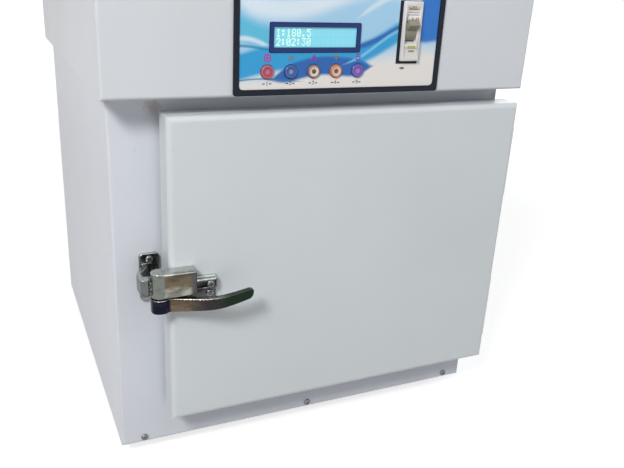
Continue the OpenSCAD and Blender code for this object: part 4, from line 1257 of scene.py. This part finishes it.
@dataclass
class ControlPlate(SubAssembly):
    """The printed control plate with its push buttons and their signs, in millimetres."""

    sign_rise: float = 9.6
    number_drop: float = 8.3
    number_corner: Point2 = (-0.8, -1.1)
    number_pitch: float = 0.36
    dash: Point2 = (1.7, 0.7)
    dash_off: float = 2.5
    cap_profile: Outline = (
        (1.5, -12.8), (1.6, -12.6), (1.6, -4.9), (5.7, -4.9), (5.7, -3.95), (4.78, -3.9), (4.78, -0.75),
        (4.6, -0.3), (4.2, -0.02), (3.7, -0.05), (3.2, -0.35), (2.0, -0.5), (0.05, -0.52))

    def add_finishes(self) -> None:
        """Adds the film and the caps, which follow the frame's own places."""
        deep, mid, teal = (0.010, 0.12, 0.44), (0.020, 0.34, 0.68), (0.015, 0.20, 0.40)
        sky, white, cyan = (0.22, 0.60, 0.86), (0.80, 0.88, 0.95), (0.07, 0.50, 0.72)
        waves = (
            Wave(white, 24, 0.10, 5, 0.050, 0.4, 12, 10, 0.8),
            Wave(sky, 31, 0.16, 4, 0.060, 2.0, 2.4, 2.2, 0.8, (-36, 110)),
            Wave(white, 2, 0.55, 3, 0.060, 0.0, 4, 4, 0.7, (0, 74)),
            Wave(cyan, -6, -0.10, 5, 0.070, 2.4, 13, 9, 0.9, (-120, -28)),
            Wave(white, -14, -0.05, 5, 0.080, 1.4, 3, 3, 0.8, (-120, -42)),
            Wave(mid, -20, 0.06, 5, 0.045, 3.6, 11, 4, 1.0, (-110, 28)),
            Wave(mid, -20, 0.42, 2, 0.080, 3.0, 10, 5, 1.0, (-16, 66)),
            Wave(deep, -25, 0.12, 3, 0.070, 3.1, 8, 3, 1.0, (-62, 31)),
            Wave(deep, -14, 0.36, 2, 0.080, 3.0, 3.2, 2.4, 0.95, (-6, 64)),
            Wave(sky, -24, 0.52, 1.5, 0.120, 3.0, 2.2, 1.8, 0.8, (-8, 64)),
            Wave((0.012, 0.17, 0.58), 2, 0.10, 1.5, 0.100, 0.0, 20, 4, 1.0, (46, 120)),
            Wave(teal, -33, 0.02, 1.5, 0.080, 0.6, 1.0, 0.8, 0.8, (-120, -22)),
            Wave(teal, -6, 0.10, 4, 0.070, 1.2, 1.5, 1.2, 0.8, (-120, -44)),
        )
        plate = middle("plate_frame")
        self.finishes.listed["overlay_film"] = PrintedFilm(
            "printed_film", (0.38, 0.64, 0.86), (0.82, 0.79, 0.76), waves,
            (plate.x, plate.z), (-31.0, -12.0))
        for i, (shade, colours) in enumerate(CAP_COLOURS.items(), 1):
            place = middle(f"button_{i}")
            cap = ButtonCap(shade + "_cap", *colours, (place.x, place.z))
            self.finishes.listed["button_" + shade] = cap

    def build_caps(self) -> None:
        """Builds the dished push button caps."""
        for i, shade in enumerate(CAP_COLOURS, 1):
            node, slot = f"button_{i}", "button_" + shade
            place = middle(node)
            maker = Maker(shade + "_cap")
            maker.lathe(self.cap_profile, on_front(node, place.x, place.z))
            self.settle(maker.done(self.finishes.get(slot), 45), slot, node, node)

    def by_button(self, number: int, rise: float) -> Matrix:
        """Returns a placement on the film, a number of millimetres over a push button."""
        place = middle(f"button_{number}")
        return on_front("control_overlay", place.x, place.z + rise * MM)

    def build_signs(self) -> None:
        """Prints a plain sign over each push button."""
        for shade, signs in SIGNS.items():
            maker = Maker(shade + "_signs")
            for number, sign in signs.items():
                for outline, opening in sign.value:
                    maker.plate(outline, self.by_button(number, self.sign_rise), PRINT_THICK, opening)
            self.print_on(maker, shade)

    def build_numbers(self) -> None:
        """Prints each push button's number under it, between two dashes."""
        maker = Maker("button_numbers")
        corner = Matrix.Translation([c * MM for c in (*self.number_corner, 0)])
        for number in range(1, len(CAP_COLOURS) + 1):
            at = self.by_button(number, -self.number_drop)
            dots(maker, str(number), at @ corner, (self.number_pitch,) * 2, PRINT_THICK)
            for side in (-1, 1):
                maker.plate(rectangle(*self.dash, side * self.dash_off), at, PRINT_THICK)
        self.print_on(maker, "ink")

    def build(self) -> None:
        """Builds and dresses the control plate."""
        self.add_finishes()
        self.dress(frame_black=("plate_frame",), overlay_film=("control_overlay",),
                   circuit_board=("control_board",), switch_black=("tact_switches",))
        self.build_caps()
        self.build_signs()
        self.build_numbers()


@dataclass(frozen=True)
class Hollow:
    """A shallow hollow across the breaker's nose, in millimetres from its sides and its front."""

    margin: float
    tall: float
    deep: float


@dataclass
class Breaker(SubAssembly):
    """The single-pole circuit breaker with its flag and its marks, and a black frame in its opening
    that stands in for the shade in the gap round the nose, in millimetres.

    The flag and each bar have a width, a height, and the place of their middle on the nose.
    """

    # The nose is narrower and lower than the opening, so the black frame shows as painted shade at its
    # left and bottom.
    nose_wide: float = 15.4
    nose_high: float = 43.2
    nose_deep: float = 6.2
    opening: Point2 = (18.4, 45.6)
    nose_gap: float = 0.3
    window_half: float = 8.0
    window_deep: float = 4.2
    toggle_wide: float = 9.6
    barrel_radius: float = 6.3
    barrel_deep: float = 5.6
    slot_rises: tuple[float, ...] = (12.2, 14.0, 15.8)
    slot: Hollow = Hollow(3.0, 0.8, 0.5)
    panel_rise: float = 2.6
    panel: Hollow = Hollow(2.5, 6.8, 0.35)
    surround_back: float = 2.2
    surround_thick: float = 2.35
    flag: tuple[float, ...] = (6.4, 1.9, 0.4, -10.3)
    bars: tuple[tuple[float, ...], ...] = (
        (0.8, 3.0, -0.9, 9.5), (5.2, 0.8, 0.2, -13.1), (4.4, 0.7, -0.4, 18.6), (6.0, 0.7, -0.4, 17.1))
    ring_at: Point2 = (3.2, 9.6)
    oval: tuple[float, ...] = (-4.6, -26.2, 0.45)

    def nose(self) -> Box:
        """Works out where the nose is: at the right of the opening and under its top.

        Returns:
            Its low and high corner, in metres.
        """
        low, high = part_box("breaker_case")
        foot = middle("breaker_case").z + (self.opening[1] / 2 - self.nose_high - self.nose_gap) * MM
        size = Vector((self.nose_wide, self.nose_deep, self.nose_high)) * MM
        corner = Vector((high.x - size.x, low.y, foot))
        return corner, corner + size

    def build_shell(self) -> None:
        """Builds the case, with the toggle's window, three slots and a shallow panel cut out."""
        low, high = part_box("breaker_case")
        centre, (start, end) = (low + high) / 2, self.nose()
        white = self.finishes.get("breaker_white")
        maker = Maker("breaker_shell")
        maker.block(start, (end.x, end.y + 1.5 * MM, end.z), 0.8 * MM)
        maker.block((low.x, end.y, low.z), high, 0.5 * MM)
        shell = maker.done(white)
        cutter = Maker("breaker_cutter")
        half, reach = self.toggle_wide / 2 * MM, self.window_half * MM
        cutter.block((centre.x - half, low.y - 2 * MM, centre.z - reach),
                     (centre.x + half, low.y + self.window_deep * MM, centre.z + reach), 0.2 * MM)
        at = Matrix.Translation((centre.x - half, low.y + self.barrel_deep * MM, centre.z))
        barrel = [(self.barrel_radius, 0), (self.barrel_radius, self.toggle_wide)]
        cutter.lathe(barrel, at @ Side.RIGHT.value, 32)
        hollows = [(centre.z + rise * MM, self.slot) for rise in self.slot_rises]
        for foot, hollow in (*hollows, (start.z + self.panel_rise * MM, self.panel)):
            margin, deep = hollow.margin * MM, hollow.deep * MM
            cutter.block((start.x + margin, low.y - 1 * MM, foot),
                         (end.x - margin, low.y + deep, foot + hollow.tall * MM))
        cut_away(shell, cutter.done(white))
        self.settle(shell, "breaker_white", replaced="breaker_case")

    def build_surround(self) -> None:
        """Builds the black frame between the film's opening and the nose: painted shade where the gap
        is.
        """
        start, end = self.nose()
        centre = middle("breaker_case")
        across, up = ((start + end) / 2 - centre).xz / MM
        maker = Maker("breaker_gap_shade")
        at = on_front("control_overlay", centre.x, centre.z, self.surround_back * MM)
        inner = rectangle(self.nose_wide - 0.1, self.nose_high - 0.1, across, up)
        maker.plate(rectangle(*self.opening), at, self.surround_thick, inner)
        self.settle(maker.done(self.finishes.get("frame_black")), "frame_black")

    def build_marks(self) -> None:
        """Prints the flag and the marks on the nose, and an oval on the film under it."""
        start, end = self.nose()
        place = ((start.x + end.x) / 2, middle("breaker_case").z)
        face = on_front("breaker_case", *place)
        flag = Maker("breaker_flag")
        flag.plate(rectangle(*self.flag), face, PRINT_THICK)
        self.print_on(flag, "flag_green")
        ink = Maker("breaker_marks")
        for bar in self.bars:
            ink.plate(rectangle(*bar), face, PRINT_THICK)
        ink.plate(circle(1.5, 20, *self.ring_at), face, PRINT_THICK, circle(0.9, 20, *self.ring_at))
        ink.plate(circle(2.1, 24, *self.oval), on_front("control_overlay", *place), PRINT_THICK)
        self.print_on(ink, "umber")

    def build(self) -> None:
        """Builds and dresses the circuit breaker."""
        self.build_shell()
        self.build_surround()
        self.build_marks()
        self.dress(toggle_grey=("breaker_toggle",))


@dataclass
class Display(SubAssembly):
    """The backlit display with its rows of digits, in millimetres."""

    rows: tuple[str, ...] = ("2:02:30", "1:180.5")
    cells: int = 16
    cell_pitch: Point2 = (3.85, 6.2)
    dot_pitch: Point2 = (0.62, 0.76)
    dot_margin: Point2 = (0.45, 0.55)
    dot_thick: float = 0.08

    def corner(self) -> Point2:
        """Returns the lower left corner of the cells, which lie round the glass's middle."""
        centre = middle("display_glass") / MM
        return centre.x - self.cells * self.cell_pitch[0] / 2, centre.z - self.cell_pitch[1]

    def build_digits(self) -> None:
        """Builds the lit digits on the display's window."""
        maker = Maker("display_digits")
        left, foot = (start + margin for start, margin in zip(self.corner(), self.dot_margin))
        for row, text in enumerate(self.rows):
            at = on_front("display_glass", left * MM, (foot + row * self.cell_pitch[1]) * MM)
            dots(maker, text, at, self.dot_pitch, self.dot_thick, self.cell_pitch[0])
        self.settle(maker.done(self.finishes.get("digits")), "display_window")

    def build(self) -> None:
        """Builds and dresses the display."""
        self.finishes.listed["display_window"] = Backlight(
            "lit_window", (0.18, 0.56, 0.69), (0.21, 0.60, 0.72), self.corner(), self.cell_pitch)
        self.dress(display_bezel=("display_frame",), display_window=("display_glass",),
                   circuit_board=("display_board",))
        self.build_digits()


@dataclass
class Header(SubAssembly):
    """The header's painted sheet and the electrical parts on its floor."""

    def build(self) -> None:
        """Builds and dresses the header."""
        self.dress(
            header_paint=("header_shell", "header_rear_cover"),
            rail_zinc=("header_floor", "breaker_rail"),
            sink_aluminium=("relay_heat_sink",),
            core_steel=("transformer",),
            block_cream=("terminal_block",),
            blade_brass=("inlet_blades",),
            switch_black=("relay", "power_inlet"),
        )
        self.add_screws("cabinet", header_screws=Side.BACK, inlet_screws=Side.BACK)


@dataclass(frozen=True)
class Lamp:
    """A square soft lamp that looks at the part, set off from where it looks, in metres."""

    name: str
    off: Sequence[float]
    size: float
    energy: float
    colour: Colour = WHITE

    def build(self, aim: Vector) -> None:
        """Puts the lamp in the scene.

        Args:
            aim: The place that it looks at.
        """
        data = bpy.data.lights.new(self.name, "AREA")
        data.energy, data.size, data.color = self.energy, self.size, self.colour
        lamp = bpy.data.objects.new(self.name, data)
        lamp.location = aim + Vector(self.off)
        lamp.rotation_euler = (-Vector(self.off)).to_track_quat("-Z", "Y").to_euler()
        bpy.context.scene.collection.objects.link(lamp)


@dataclass
class Studio:
    """Floor, world, lamps and the photograph's camera."""

    eye: tuple[float, float, float] = (-0.24635, -0.6486, 0.3977)
    azimuth: float = 0.442
    fall: float = 0.367
    roll: float = 0.054
    lens: float = 41.65
    sensor: float = 36.0
    aim: tuple[float, float, float] = (0.0, -0.10, 0.25)
    lamps: tuple[Lamp, ...] = (
        Lamp("key_lamp", Vector((-0.98, -1.0, 1.0)).normalized() * 1.75, 0.36, 20.2, (1.0, 0.99, 0.97)),
        Lamp("top_lamp", (0.25, -0.75, 1.0), 0.8, 2.2),
        Lamp("fill_lamp", (1.4, -1.4, 0.65), 1.4, 3.6, (0.95, 0.97, 1.0)),
        Lamp("rear_lamp", (1.5, 1.8, 0.95), 1.6, 13.0, (0.98, 0.99, 1.0)),
    )
    world_colour: Colour = (0.96, 0.98, 1.0)
    world_light: float = 0.25
    floor_radius: float = 6000.0
    floor_colour: Colour = (0.50, 0.50, 0.50)
    floor_glow: float = 0.72
    glow_fade: tuple[float, float] = (0.7, 2.2)

    def build_world(self) -> None:
        """Lights the scene evenly, and shows a white background."""
        world = bpy.data.worlds.new("studio_world")
        bpy.context.scene.world = world
        world.use_nodes = True
        sky = Nodes(world.node_tree)
        soft = sky.node("ShaderNodeBackground", self.world_colour, self.world_light)
        white = sky.node("ShaderNodeBackground", WHITE, 1.0)
        mixed = sky.node("ShaderNodeMixShader", sky.seen_white(), soft.outputs[0], white.outputs[0])
        sky.node("ShaderNodeOutputWorld", mixed.outputs[0])

    def build_floor(self) -> None:
        """Lays a plain pale floor that fades into the background."""
        maker = Maker("studio_floor")
        ring = placed(circle(self.floor_radius, 48), NO_TURN, 0)
        maker.bm.faces.new([maker.bm.verts.new(p) for p in ring])
        s = Shader("floor_card")
        s.set(Base_Color=self.floor_colour, Roughness=0.9, Specular_IOR_Level=0.1)
        s.bump(s.noise(40.0), 0.2 * MM, 0.1)
        strength = s.ranged(s.distance((0, 0, 0)), *self.glow_fade, self.floor_glow, 1, True)
        glow = s.node("ShaderNodeEmission", WHITE, strength)
        both = s.node("ShaderNodeAddShader", s.bsdf.outputs[0], glow.outputs[0])
        lit = s.node("ShaderNodeMixShader", s.seen_white(), s.bsdf.outputs[0], both.outputs[0])
        s.link(lit.outputs[0], s.output.inputs[0])
        maker.done(s.material)

    def build_camera(self) -> None:
        """Puts the camera where the photograph was taken."""
        data = bpy.data.cameras.new("photo_camera")
        data.sensor_width = self.sensor
        data.lens = self.lens
        data.clip_start = 10 * MM
        camera = bpy.data.objects.new("photo_camera", data)
        a, e = self.azimuth, self.fall
        forward = Vector((math.sin(a) * math.cos(e), math.cos(a) * math.cos(e), -math.sin(e)))
        right = forward.cross(Vector((0, 0, 1))).normalized()
        up = right.cross(forward)
        c, s = math.cos(self.roll), math.sin(self.roll)
        turn = Matrix((right * c + up * s, up * c - right * s, -forward)).transposed().to_4x4()
        camera.matrix_world = Matrix.Translation(self.eye) @ turn
        bpy.context.scene.collection.objects.link(camera)
        bpy.context.scene.camera = camera

    def build(self) -> None:
        """Builds the studio."""
        bpy.context.scene.view_settings.view_transform = "Standard"
        self.build_camera()
        self.build_world()
        self.build_floor()
        for lamp in self.lamps:
            lamp.build(Vector(self.aim))


def main() -> None:
    """Builds the studio and every sub-assembly, in order."""
    logging.basicConfig(level=logging.INFO, format="%(name)s: %(message)s")
    Studio().build()
    finishes = Finishes()
    for kind in (Cabinet, Door, Latch, ControlPlate, Breaker, Display, Header):
        part = kind(finishes)
        part.build()
        for name in part.made:
            LOG.info("%s: %s", kind.__name__, name)


if __name__ == "__main__":
    main()
